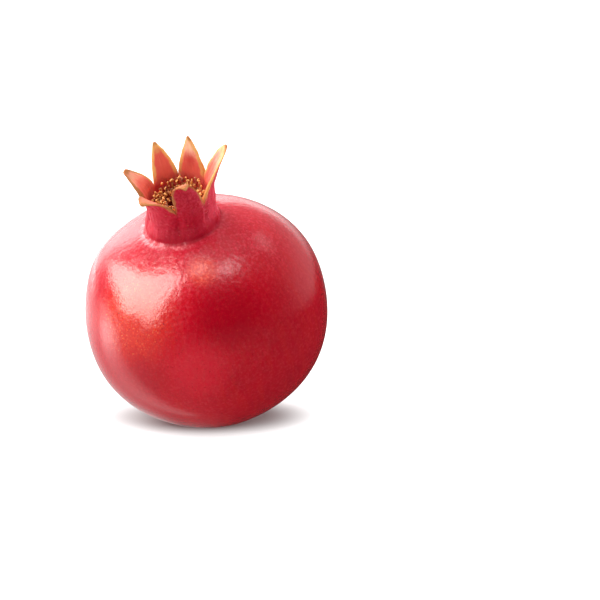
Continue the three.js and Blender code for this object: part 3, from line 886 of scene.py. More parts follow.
@dataclass
class StamenBunch:
    """The dried stamens crowded inside the crown, the withered style and the lining they root in."""

    workshop: Workshop
    form: RindForm
    finish: "StamenFinish"
    count: int = 300
    seed: int = 11
    gap: float = 0.3
    lining: float = 1.0
    lining_from: float = 0.45
    lining_sides: int = 96
    lining_relief: float = 0.25
    stray: float = 9.0
    filament_radius: float = 0.13
    filament_sides: int = 5
    filament_steps: int = 8
    anther_length: float = 1.2
    anther_thickness: float = 0.82
    anther_sizes: Span = (0.75, 1.15)
    anther_curls: Span = (0.5, 1.5)
    anther_tumble: float = 0.5
    anther_groove: float = 0.55
    anther_rings: int = 9
    anther_sides: int = 10
    anther_ring: Span = (3.4, 9.1)
    anther_height: Span = (-2.6, 3.7)
    style_radius: float = 0.8
    style_length: float = 4.5
    style_sides: int = 20
    style_relief: float = 0.18
    style_tone: float = 0.3

    def lining_profile(self) -> list[tuple[float, float]]:
        """Radius and height along the lining's section, from its seat and back over its face.

        Returns:
            The places of the section, each a radius and a height.
        """
        form = self.form
        half = form.wall / 2
        edge = float(form.cup_radius(1.0, half))
        wall = [
            (float(form.cup_radius(share, half)), form.neck_height - form.cup_depth * share)
            for share in np.linspace(self.lining_from, 1.0, 9)
        ]
        floor = [
            (edge * (1 - share), float(form.cup_floor(share)))
            for share in np.linspace(form.moat_at, 1.0, 10)
        ]

        def face(offset: float) -> list[tuple[float, float]]:
            """The section's line at a distance from the cup's surface, up to where it meets the axis.

            Args:
                offset: The distance in millimetres.

            Returns:
                The places along the line.
            """
            corner = (wall[-1][0] - offset, wall[-1][1] + offset)
            lifted = [(max(0.0, radius - offset), height + offset) for radius, height in floor]
            on_axis = next(i for i, (radius, _) in enumerate(lifted) if radius == 0)
            upright = [(radius - offset, height) for radius, height in wall[:-1]]
            return [*upright, corner, *lifted[: on_axis + 1]]

        return face(self.gap)[::-1] + face(self.gap + self.lining)

    def style_profile(self) -> list[tuple[float, float]]:
        """Radius and height along the style, from its foot to its swollen head.

        Returns:
            The places of the section, each a radius and a height.
        """
        foot = float(self.form.cup_floor(1.0)) + self.gap + self.lining / 2
        head = foot + self.style_length
        radius = self.style_radius
        return [
            (0.0, foot),
            (radius * 1.5, foot),
            (radius * 1.1, foot + 0.6),
            (radius, foot + 1.2),
            (radius * 0.75, (foot + head) / 2),
            (radius * 0.8, head - 1.2),
            (radius * 1.25, head - 0.8),
            (radius * 1.6, head - 0.5),
            (radius * 1.4, head - 0.15),
            (radius * 0.8, head + 0.05),
            (0.0, head + 0.1),
        ]

    def turned(self, profile: list[tuple[float, float]], sides: int, tone: float) -> Skin:
        """A closed surface of revolution in the fruit's frame, from a profile that runs upward outside.

        Args:
            profile: Radius and height along the section.
            sides: How many sides it has.
            tone: Its tone.

        Returns:
            The surface.
        """
        skin = Skin()
        azimuths = 2 * math.pi * np.arange(sides) / sides
        rows = []
        for radius, height in profile:
            around = azimuths if radius > 0 else np.zeros(1)
            points = self.form.crown_to_fruit(polar(radius, around, height))
            rows.append(skin.add_row(points, tone=tone))
        for a, b in zip(rows, rows[1:]):
            if len(a) == 1:
                skin.add_fan(int(a[0]), b[::-1])
            elif len(b) == 1:
                skin.add_fan(int(b[0]), a)
            else:
                skin.add_band(a, b)
        return skin

    def build_turned(self, name: str, skin: Skin, relief: float) -> Piece:
        """Makes a turned piece with an uneven surface.

        Args:
            name: The piece's name.
            skin: Its surface.
            relief: How deep the unevenness is.

        Returns:
            The piece.
        """
        points = skin.all_points()
        height = relief * (noise_at(points, 1.3) - 0.5)
        places = points + skin_normals(points, skin.faces) * height[:, None]
        return self.workshop.make_piece(name, skin, places, self.finish.material())

    def draw_stamens(self) -> list[tuple[Array, Array, Array, float]]:
        """Draws each stamen's root, knee and tip in the crown's frame, and its tone.

        Returns:
            The root, the knee, the tip and the tone of each.
        """
        draw = np.random.default_rng(self.seed)
        form = self.form
        root_radius = float(form.cup_radius(0.75, form.wall / 2)) - self.gap - self.lining * 0.6
        stamens = []
        for i in range(self.count):
            azimuth = i * GOLDEN_ANGLE
            depth = lerp(self.lining_from + 0.05, 0.95, draw.random())
            root_height = form.neck_height - form.cup_depth * depth
            crowd = math.sqrt(draw.random())
            tip_radius = lerp(*self.anther_ring, crowd)
            rise = lerp(*self.anther_height, draw.random() * lerp(0.55, 1.0, crowd))
            tip_azimuth = azimuth + math.radians(draw.uniform(-self.stray, self.stray))
            root = polar(root_radius, azimuth, root_height)
            knee_height = lerp(root_height, form.neck_height + rise, 0.35)
            knee = polar(lerp(root_radius, tip_radius, 0.8), tip_azimuth, knee_height)
            tip = polar(tip_radius, tip_azimuth, form.neck_height + rise)
            stamens.append((root, knee, tip, float(draw.random())))
        return stamens

    def add_filament(self, skin: Skin, root: Array, knee: Array, tip: Array, tone: float) -> None:
        """Adds one thin tapered thread along a bent line.

        Args:
            skin: The surface that grows.
            root: Where it starts.
            knee: The place it bends toward.
            tip: Where it ends.
            tone: Its tone.
        """
        row = None
        for step in range(self.filament_steps + 1):
            t = step / self.filament_steps
            centre = (1 - t) ** 2 * root + 2 * t * (1 - t) * knee + t * t * tip
            way = unit((1 - t) * (knee - root) + t * (tip - knee))
            side = unit(np.cross(way, [0.31, 0.17, 0.93]))
            other = np.cross(way, side)
            turn = 2 * math.pi * np.arange(self.filament_sides)[:, None] / self.filament_sides
            radius = self.filament_radius * lerp(1.25, 0.6, t)
            ring = centre + radius * (side * np.cos(turn) + other * np.sin(turn))
            following = skin.add_row(self.form.crown_to_fruit(ring), tone=tone, along=t)
            if row is not None:
                skin.add_band(row, following)
            else:
                skin.faces.append(tuple(int(i) for i in following[::-1]))
            row = following
        skin.faces.append(tuple(int(i) for i in row))

    def add_anther(
        self, skin: Skin, tip: Array, turn: Matrix, curl: float, size: float, tone: float
    ) -> None:
        """Adds one shrivelled two-lobed anther: a curled bean with a groove along its hollow side.

        Args:
            skin: The surface that grows.
            tip: Its middle.
            turn: How it is turned.
            curl: How far it is bent round, in radians.
            size: Its share of the usual size.
            tone: Its tone.
        """
        angles = 2 * math.pi * np.arange(self.anther_sides) / self.anther_sides
        groove = np.maximum(0.0, np.cos(angles)) ** 4
        section = 1 - self.anther_groove * groove
        half_length, radius = size * self.anther_length / 2, size * self.anther_thickness / 2
        spin = np.array(turn)

        def place(share: float, out: Array, side: Array) -> Array:
            """Points at a share of the length, bent round by the curl.

            Args:
                share: Place along the length, from -1 to 1.
                out: How far they stand out of the bend.
                side: How far they lie to its side.

            Returns:
                The points in the fruit's frame.
            """
            bend = curl * share
            x = half_length * (math.sin(bend) / curl) + out * -math.sin(bend)
            z = half_length * ((1 - math.cos(bend)) / curl) + out * math.cos(bend)
            local = np.stack(np.broadcast_arrays(x, side, z), axis=-1)
            return self.form.crown_to_fruit(local @ spin.T + tip)

        rows = [skin.add_row(place(-1.0, np.zeros(1), np.zeros(1)), tone=tone)]
        for ring in range(1, self.anther_rings):
            share = 2 * ring / self.anther_rings - 1
            swell = radius * (1 - share * share) ** 0.42
            out, side = swell * section * np.cos(angles), swell * section * np.sin(angles) * 0.85
            rows.append(skin.add_row(place(share, out, side), tone=tone, cut=groove))
        rows.append(skin.add_row(place(1.0, np.zeros(1), np.zeros(1)), tone=tone))
        skin.add_fan(int(rows[0][0]), rows[1])
        for a, b in zip(rows[1:], rows[2:-1]):
            skin.add_band(b, a)
        skin.add_fan(int(rows[-1][0]), rows[-2][::-1])

    def build(self) -> list[Piece]:
        """Builds and dresses the bunch.

        Returns:
            Its pieces.
        """
        filaments, anthers = Skin(), Skin()
        draw = np.random.default_rng(self.seed + 1)
        for root, knee, tip, tone in self.draw_stamens():
            self.add_filament(filaments, root, knee, tip, tone)
            yaw, pitch, roll = draw.uniform(-math.pi, math.pi, 3)
            turn = Matrix.Rotation(yaw, 3, "Z") @ Matrix.Rotation(self.anther_tumble * pitch, 3, "Y")
            turn = turn @ Matrix.Rotation(roll, 3, "X")
            curl, size = draw.uniform(*self.anther_curls), draw.uniform(*self.anther_sizes)
            self.add_anther(anthers, tip, turn, curl, size, tone)
        material = self.finish.material()
        lining = self.turned(self.lining_profile(), self.lining_sides, -1.0)
        style = self.turned(self.style_profile(), self.style_sides, self.style_tone)
        pieces = [
            self.workshop.make_piece("stamen_filaments", filaments, filaments.all_points(), material),
            self.workshop.make_piece("stamen_anthers", anthers, anthers.all_points(), material),
            self.build_turned("cup_lining", lining, self.lining_relief),
            self.build_turned("withered_style", style, self.style_relief),
        ]
        for piece in pieces:
            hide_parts("stamens")
        return pieces


@dataclass
class StemStub:
    """The short woody end of the stem, seated in the dimple."""

    workshop: Workshop
    form: RindForm
    finish: "StemFinish"
    radius: float = 3.1
    end: float = -41.4
    gap: float = 0.3
    sides: int = 72
    cut_rings: tuple[float, ...] = (0.15, 0.3, 0.45, 0.6, 0.7)
    cut_dome: float = 0.2
    seat_rings: tuple[float, ...] = (0.75, 0.5, 0.25)
    bark_rings: int = 18
    bark_depth: float = 0.16
    bark_counts: Span = (1.3, 0.35)
    taper: float = 0.86

    def build(self) -> Piece:
        """Builds and dresses the stub.

        Returns:
            The stub.
        """
        skin = Skin()
        azimuths = 2 * math.pi * np.arange(self.sides) / self.sides
        flow = polar(self.radius, azimuths, 0.0)

        def seat(radius: float) -> float:
            """Height of the stub's upper face at a radius."""
            return float(self.form.body_point(self.form.angle_at_radius(radius), 0.0)[2]) - self.gap

        def ring(radius: float, height: float, cut: float) -> Array:
            """One ring of the stub."""
            return skin.add_row(polar(radius, azimuths, height), flow + [0, 0, height], cut=cut)

        rows = [
            ring(self.radius * share, self.end + self.cut_dome * (1 - share / self.cut_rings[-1]), 1.0)
            for share in self.cut_rings
        ]
        rows.append(ring(self.radius * 0.8, self.end + 0.1, 0.6))
        for i in range(self.bark_rings + 1):
            share = i / self.bark_rings
            flare = lerp(self.taper, 1.0, smooth(share * 1.2 - 0.2))
            rows.append(ring(self.radius * flare, lerp(self.end + 0.3, seat(self.radius), share), 0.0))
        rows += [ring(self.radius * share, seat(self.radius * share), 0.0) for share in self.seat_rings]
        foot = skin.add_row(np.array([0.0, 0.0, self.end + 0.25]), cut=1.0)
        head = skin.add_row(np.array([0.0, 0.0, seat(1e-6)]))
        skin.add_fan(int(foot[0]), rows[0][::-1])
        for a, b in zip(rows, rows[1:]):
            skin.add_band(a, b)
        skin.add_fan(int(head[0]), rows[-1])
        points = skin.all_points()
        bark = drawn_out(points, *self.bark_counts)
        ridges = noise_at(bark, 1.0) + 0.5 * noise_at(bark, 0.45)
        relief = self.bark_depth * (ridges - 0.75)
        places = points + skin_normals(points, skin.faces) * relief[:, None]
        piece = self.workshop.make_piece("stem_stub_bark", skin, places, self.finish.material())
        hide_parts("stem_stub")
        return piece


class NodeSheet:
    """Places and joins the nodes of one material, world or effect."""

    def __init__(self, tree: bpy.types.NodeTree) -> None:
        """Starts on a node tree."""
        self.tree = tree

    def feed(self, socket: Socket, value: Any) -> None:
        """Joins a socket to an input, or sets the input to a value.

        Args:
            socket: The input.
            value: A socket, a number, a place or a colour.
        """
        if isinstance(value, bpy.types.NodeSocket):
            self.tree.links.new(value, socket)
        elif isinstance(value, tuple) and len(value) == 3 and socket.type == "RGBA":
            socket.default_value = (*value, 1.0)
        else:
            socket.default_value = value

    def add(self, kind: str, inputs: Inputs | None = None, **settings: Any) -> bpy.types.Node:
        """Adds a node.

        Args:
            kind: Blender's name of the node.
            inputs: What its inputs get, by name or number.
            **settings: The node's own settings.

        Returns:
            The node.
        """
        node = self.tree.nodes.new(kind)
        for name, value in settings.items():
            setattr(node, name, value)
        self.give(node, inputs or {})
        return node

    def give(self, node: bpy.types.Node, inputs: Inputs) -> None:
        """Feeds several inputs of a node, by name or number."""
        for key, value in inputs.items():
            self.feed(node.inputs[key], value)

    def math(self, operation: str, *values: Any) -> Socket:
        """The result of a sum."""
        return self.add("ShaderNodeMath", dict(enumerate(values)), operation=operation).outputs[0]

    def times(self, first: Any, second: Any) -> Socket:
        """The product of two values."""
        return self.math("MULTIPLY", first, second)

    def plus(self, first: Any, second: Any) -> Socket:
        """Two values added up."""
        return self.math("ADD", first, second)

    def less(self, first: Any, second: Any) -> Socket:
        """The first value less the second."""
        return self.math("SUBTRACT", first, second)

    def axes(self, place: Socket) -> bpy.types.NodeOutputs:
        """The three numbers of a place."""
        return self.add("ShaderNodeSeparateXYZ", {0: place}).outputs

    def offset(self, place: Socket, centre: Triple) -> Socket:
        """A place as seen from a centre."""
        return self.add("ShaderNodeVectorMath", {0: place, 1: centre}, operation="SUBTRACT").outputs[0]

    def length(self, vector: Socket) -> Socket:
        """How long a vector is."""
        return self.add("ShaderNodeVectorMath", {0: vector}, operation="LENGTH").outputs["Value"]

    def dot(self, vector: Socket, axis: Triple) -> Socket:
        """How far a vector reaches along an axis."""
        inputs = {0: vector, 1: axis}
        return self.add("ShaderNodeVectorMath", inputs, operation="DOT_PRODUCT").outputs["Value"]

    def bump(self, height: Socket, strength: float, depth: float) -> Socket:
        """The surface's way out, tilted by a fine height."""
        inputs = {"Strength": strength, "Distance": depth, "Height": height}
        return self.add("ShaderNodeBump", inputs).outputs[0]

    def blend(self, share: Any, first: Any, second: Any) -> Socket:
        """Mixes two colours by a share of the second."""
        inputs = {"Factor": share, 6: first, 7: second}
        return self.add("ShaderNodeMix", inputs, data_type="RGBA").outputs[2]

    def mix(self, share: Any, first: Any, second: Any) -> Socket:
        """Mixes two values by a share of the second."""
        return self.add("ShaderNodeMix", {"Factor": share, 2: first, 3: second}).outputs[0]

    def ease(self, value: Any, low: Any, high: Any, first: float = 0.0, last: float = 1.0) -> Socket:
        """Eases from one number to another.

        Args:
            value: What it goes by.
            low: The value at which the first number holds.
            high: The value at which the last one holds.
            first: The first number.
            last: The last number.

        Returns:
            The eased number.
        """
        inputs = {"Value": value, "From Min": low, "From Max": high, "To Min": first, "To Max": last}
        node = self.add("ShaderNodeMapRange", inputs, interpolation_type="SMOOTHSTEP")
        return node.outputs["Result"]

    def mark(self, name: str, output: str = "Fac") -> Socket:
        """Reads a mark of the mesh."""
        return self.add("ShaderNodeAttribute", attribute_name=name).outputs[output]

    def stretch(self, vector: Socket, scale: Triple) -> Socket:
        """Scales a place."""
        return self.add("ShaderNodeMapping", {"Vector": vector, "Scale": scale}).outputs[0]

    def effect(self, effect: "Effect", place: Socket, pitch: float, amount: float) -> Socket:
        """Places a shared effect.

        Args:
            effect: Which one.
            place: Where on the surface, in millimetres.
            pitch: The size of its forms in millimetres.
            amount: How strong it is, from 0 to 1.

        Returns:
            What the effect puts out.
        """
        node = self.add("ShaderNodeGroup", node_tree=effect.tree())
        self.give(node, {"Place": place, "Pitch": pitch, "Amount": amount})
        return node.outputs[0]


class Effect(Enum):
    """Effects that several finishes share; each becomes one node group."""

    MOTTLE = "Mottle"  # soft patches, a mask
    SPECKLE = "Speckle"  # small flecks, a mask
    GRAIN = "Grain"  # fine pebbled grain, a height

    def tree(self) -> bpy.types.NodeTree:
        """The effect's node group, built on first use."""
        found = bpy.data.node_groups.get(self.value)
        return found or self.build()

    def build(self) -> bpy.types.NodeTree:
        """Builds the effect's node group with its inputs Place, Pitch and Amount.

        Returns:
            The node group.
        """
        tree = bpy.data.node_groups.new(self.value, "ShaderNodeTree")
        tree.interface.new_socket("Place", in_out="INPUT", socket_type="NodeSocketVector")
        for name, usual in (("Pitch", 2.0), ("Amount", 0.5)):
            socket = tree.interface.new_socket(name, in_out="INPUT", socket_type="NodeSocketFloat")
            socket.default_value = usual
        output = "Height" if self is Effect.GRAIN else "Mask"
        tree.interface.new_socket(output, in_out="OUTPUT", socket_type="NodeSocketFloat")
        sheet = NodeSheet(tree)
        given = sheet.add("NodeGroupInput").outputs
        density = sheet.math("DIVIDE", 1.0, given["Pitch"])
        result = self.result(sheet, given["Place"], density, given["Amount"])
        sheet.add("NodeGroupOutput", {0: result})
        return tree

    def result(self, sheet: NodeSheet, place: Socket, density: Socket, amount: Socket) -> Socket:
        """Works the effect out.

        Args:
            sheet: The group's sheet.
            place: Where on the surface.
            density: How many forms there are in a millimetre.
            amount: The share that patches cover, how many flecks there are, or the grit's share.

        Returns:
            The mask or the height.
        """
        inputs = {"Vector": place, "Scale": density}
        if self is Effect.GRAIN:
            cells = sheet.add("ShaderNodeTexVoronoi", {**inputs, "Smoothness": 0.6}, feature="SMOOTH_F1")
            inputs = {"Vector": place, "Scale": sheet.times(density, 1.7), "Detail": 3.0}
            grit = sheet.add("ShaderNodeTexNoise", inputs)
            return sheet.mix(amount, sheet.less(1.0, cells.outputs["Distance"]), grit.outputs[0])
        if self is Effect.MOTTLE:
            cloud = sheet.add("ShaderNodeTexNoise", {**inputs, "Detail": 3.0, "Roughness": 0.55})
            low = sheet.less(0.85, sheet.times(amount, 0.7))
            return sheet.ease(cloud.outputs[0], sheet.less(low, 0.14), sheet.plus(low, 0.14))
        cloud = sheet.add("ShaderNodeTexNoise", {**inputs, "Detail": 2.0, "Roughness": 0.7})
        low = sheet.less(0.78, sheet.times(amount, 0.4))
        return sheet.ease(cloud.outputs[0], low, sheet.plus(low, 0.12))


def new_material(name: str) -> tuple[bpy.types.Material, NodeSheet, bpy.types.Node]:
    """Starts a material.

    Args:
        name: Its name.

    Returns:
        The material, its sheet and its one shader.
    """
    material = bpy.data.materials.new(name)
    material.use_nodes = True
    tree = material.node_tree
    return material, NodeSheet(tree), tree.nodes["Principled BSDF"]


def toward(sheet: NodeSheet, place: Socket, azimuth: float, rise: float = 0.0) -> Socket:
    """How far a place lies toward a side.

    Args:
        sheet: The material's sheet.
        place: The place.
        azimuth: The side, in degrees.
        rise: How much its height counts.

    Returns:
        The distance, in the unit of the place.
    """
    turn = math.radians(azimuth)
    return sheet.dot(place, (math.cos(turn), math.sin(turn), rise))


def spot(sheet: NodeSheet, place: Socket, centre: Triple, inner: float, outer: float) -> Socket:
    """A soft round mask.

    Args:
        sheet: The material's sheet.
        place: Places in the fruit's frame, in millimetres.
        centre: Where the spot lies.
        inner: The radius up to which the mask is 1.
        outer: The radius from which it is 0.

    Returns:
        The mask.
    """
    return sheet.ease(sheet.length(sheet.offset(place, centre)), outer, inner)


def crease_scar(sheet: NodeSheet, place: Socket, flow: Socket, reach: float) -> Socket:
    """Pale scuffs along the crease, strong in some places and missing in others.

    Args:
        sheet: The material's sheet.
        place: Places in the fruit's frame, in millimetres.
        flow: Places whose third value runs along the grain.
        reach: How many millimetres the scuffs reach from the crease, below 0 up the neck.

    Returns:
        A mask.
    """
    around = sheet.stretch(flow, (1.0, 1.0, 0.0))
    worn = sheet.effect(Effect.MOTTLE, around, 22.0, 0.45)
    strands = sheet.effect(Effect.MOTTLE, sheet.stretch(flow, (1.0, 1.0, 1.3)), 2.8, 0.45)
    clumps = sheet.effect(Effect.MOTTLE, place, 2.0, 0.45)
    scuffs = sheet.times(sheet.mix(strands, 0.3, 1.0), sheet.mix(clumps, 0.2, 1.0))
    near = sheet.ease(sheet.mark("crease"), reach, 0.2 * reach)
    near = sheet.times(near, sheet.times(scuffs, 1.5))
    front = sheet.ease(toward(sheet, place, -150.0), 1.0, 14.0, 0.1, 1.8)
    return sheet.times(sheet.times(near, front), sheet.mix(worn, 0.35, 1.0))


@dataclass(frozen=True)
class TintPatch:
    """A soft round patch of another colour, used to paint patches of shade and of light; its place and
    its radii are in millimetres.
    """

    centre: Triple
    inner: float
    outer: float
    tint: Colour
    share: float

    def over(self, sheet: NodeSheet, place: Socket, colour: Socket) -> Socket:
        """Lays the patch over a colour."""
        mask = sheet.times(spot(sheet, place, self.centre, self.inner, self.outer), self.share)
        return sheet.blend(mask, colour, self.tint)


# Colour of the painted shade patches.
PAINTED_SHADE_RED: Colour = (0.20, 0.0005, 0.006)


@dataclass(frozen=True)
class RindFinish:
    """Leathery rind: crimson, with painted shade on the side turned from the light and ember on the lit
    side, golden flecks and a pale worn crease.
    """

    crimson: Colour = (0.31, 0.001, 0.008)
    # shade is the darker crimson of the painted shade on the side turned from the light.
    shade: Colour = (0.25, 0.0006, 0.007)
    pit: Colour = (0.17, 0.0005, 0.005)
    scarlet: Colour = (0.36, 0.011, 0.004)
    ember: Colour = (0.48, 0.03, 0.008)
    amber: Colour = (0.60, 0.085, 0.035)
    gold: Colour = (0.72, 0.26, 0.06)
    bloom: Colour = (0.46, 0.028, 0.050)
    rose: Colour = (0.33, 0.004, 0.014)
    scar: Colour = (0.72, 0.25, 0.26)
    roughness: float = 0.16
    shine: Span = (-0.03, 0.05)
    mirror: float = 1.5
    relief_strength: float = 0.56
    relief_depth: float = 0.00016
    lit_side_azimuth: float = -160.0
    lit_side_span: Span = (-22.0, 34.0)
    blush_centre: Triple = (-21.0, -29.0, 23.5)
    blush_radii: Span = (7.0, 22.0)
    # Centre and radii of an amber spot that is partly the rind's orange tint and partly a painted
    # highlight.
    warm_highlight_centre: Triple = (6.0, -24.0, 33.7)
    warm_highlight_radii: Span = (1.5, 7.5)
    scar_reach: float = 2.4
    # Round patches of painted light: the first three paint shade on the front right and the lower left;
    # the fourth paints lighter red at the lower front, standing for light from the floor.
    patches: tuple[TintPatch, ...] = (
        TintPatch((11.5, -35.5, 22.0), 5.0, 17.0, PAINTED_SHADE_RED, 0.75),
        TintPatch((27.0, -30.0, 17.0), 6.0, 22.0, PAINTED_SHADE_RED, 0.35),
        TintPatch((-20.0, -38.4, 3.6), 3.0, 12.0, PAINTED_SHADE_RED, 0.35),
        TintPatch((-0.5, -43.7, 6.0), 4.0, 15.0, (0.43, 0.006, 0.018), 0.5),
    )

    def colour(self, sheet: NodeSheet, place: Socket, flow: Socket) -> Socket:
        """Colour of the body's skin.

        Args:
            sheet: The material's sheet.
            place: Places in the fruit's frame, in millimetres.
            flow: Places whose third value runs along the grain.

        Returns:
            The colour.
        """
        ragged = sheet.effect(Effect.MOTTLE, place, 14.0, 0.5)
        # Painted shade: places turned from the light's azimuth take the darker shade colour, with a
        # ragged edge.
        lit_side = toward(sheet, place, self.lit_side_azimuth, 0.25)
        lit_side = sheet.plus(lit_side, sheet.times(ragged, 18.0))
        colour = sheet.blend(sheet.ease(lit_side, *self.lit_side_span), self.shade, self.crimson)
        crease = sheet.mark("crease")
        colour = sheet.blend(sheet.ease(crease, 24.0, 4.0), colour, self.rose)
        blush = spot(sheet, place, self.blush_centre, *self.blush_radii)
        blush = sheet.times(blush, sheet.mix(ragged, 0.7, 1.0))
        colour = sheet.blend(sheet.times(blush, 0.95), colour, self.scarlet)
        streaks = sheet.effect(Effect.MOTTLE, sheet.stretch(flow, (1, 1, 0.12)), 2.0, 0.45)
        colour = sheet.blend(sheet.times(streaks, 0.2), colour, self.scarlet)
        grains = sheet.effect(Effect.MOTTLE, place, 1.0, 0.4)
        lofty = sheet.ease(sheet.axes(place)[2], 20.0, 36.0, 0.16, 0.6)
        shy = sheet.ease(blush, 0.0, 0.5, 1.0, 0.3)
        colour = sheet.blend(sheet.times(grains, sheet.times(lofty, shy)), colour, self.bloom)
        # Painted shade and painted light, laid in round patches.
        for patch in self.patches:
            colour = patch.over(sheet, place, colour)
        # An amber spot above the right of the highlight: partly the rind's orange tint, partly a painted
        # highlight.
        warm_highlight = spot(sheet, place, self.warm_highlight_centre, *self.warm_highlight_radii)
        colour = sheet.blend(sheet.times(warm_highlight, sheet.mix(grains, 0.25, 0.7)), colour, self.amber)
        pits = sheet.effect(Effect.SPECKLE, place, 0.85, 0.42)
        colour = sheet.blend(sheet.times(pits, 0.85), colour, self.pit)
        embers = sheet.effect(Effect.SPECKLE, place, 1.0, 0.6)
        embers = sheet.times(embers, sheet.ease(blush, 0.0, 1.0, 0.05, 0.6))
        colour = sheet.blend(embers, colour, self.ember)
        flecks = sheet.effect(Effect.SPECKLE, place, 0.62, 0.44)
        flecks = sheet.times(flecks, sheet.ease(blush, 0.0, 1.0, 0.03, 0.42))
        colour = sheet.blend(flecks, colour, self.gold)
        haze = sheet.times(sheet.ease(crease, 5.0, 0.0, 0.0, 0.45), sheet.mix(grains, 0.4, 1.0))
        colour = sheet.blend(haze, colour, self.bloom)
        return sheet.blend(crease_scar(sheet, place, flow, self.scar_reach), colour, self.scar)

    def material(self) -> bpy.types.Material:
        """Builds the finish.

        Returns:
            The material.
        """
        material, sheet, shader = new_material("Rind")
        place, flow = sheet.mark("place", "Vector"), sheet.mark("flow", "Vector")
        pebbles = sheet.effect(Effect.GRAIN, place, 1.6, 0.5)
        grit = sheet.effect(Effect.GRAIN, place, 0.7, 0.5)
        relief = sheet.plus(sheet.times(pebbles, 0.45), sheet.times(grit, 0.55))
        shine = sheet.ease(sheet.effect(Effect.MOTTLE, place, 1.5, 0.5), 0, 1, *self.shine)
        inputs = {
            "Base Color": self.colour(sheet, place, flow),
            "Roughness": sheet.plus(self.roughness, shine),
            "Normal": sheet.bump(relief, self.relief_strength, self.relief_depth),
            "IOR": self.mirror,
        }
        sheet.give(shader, inputs)
        return material


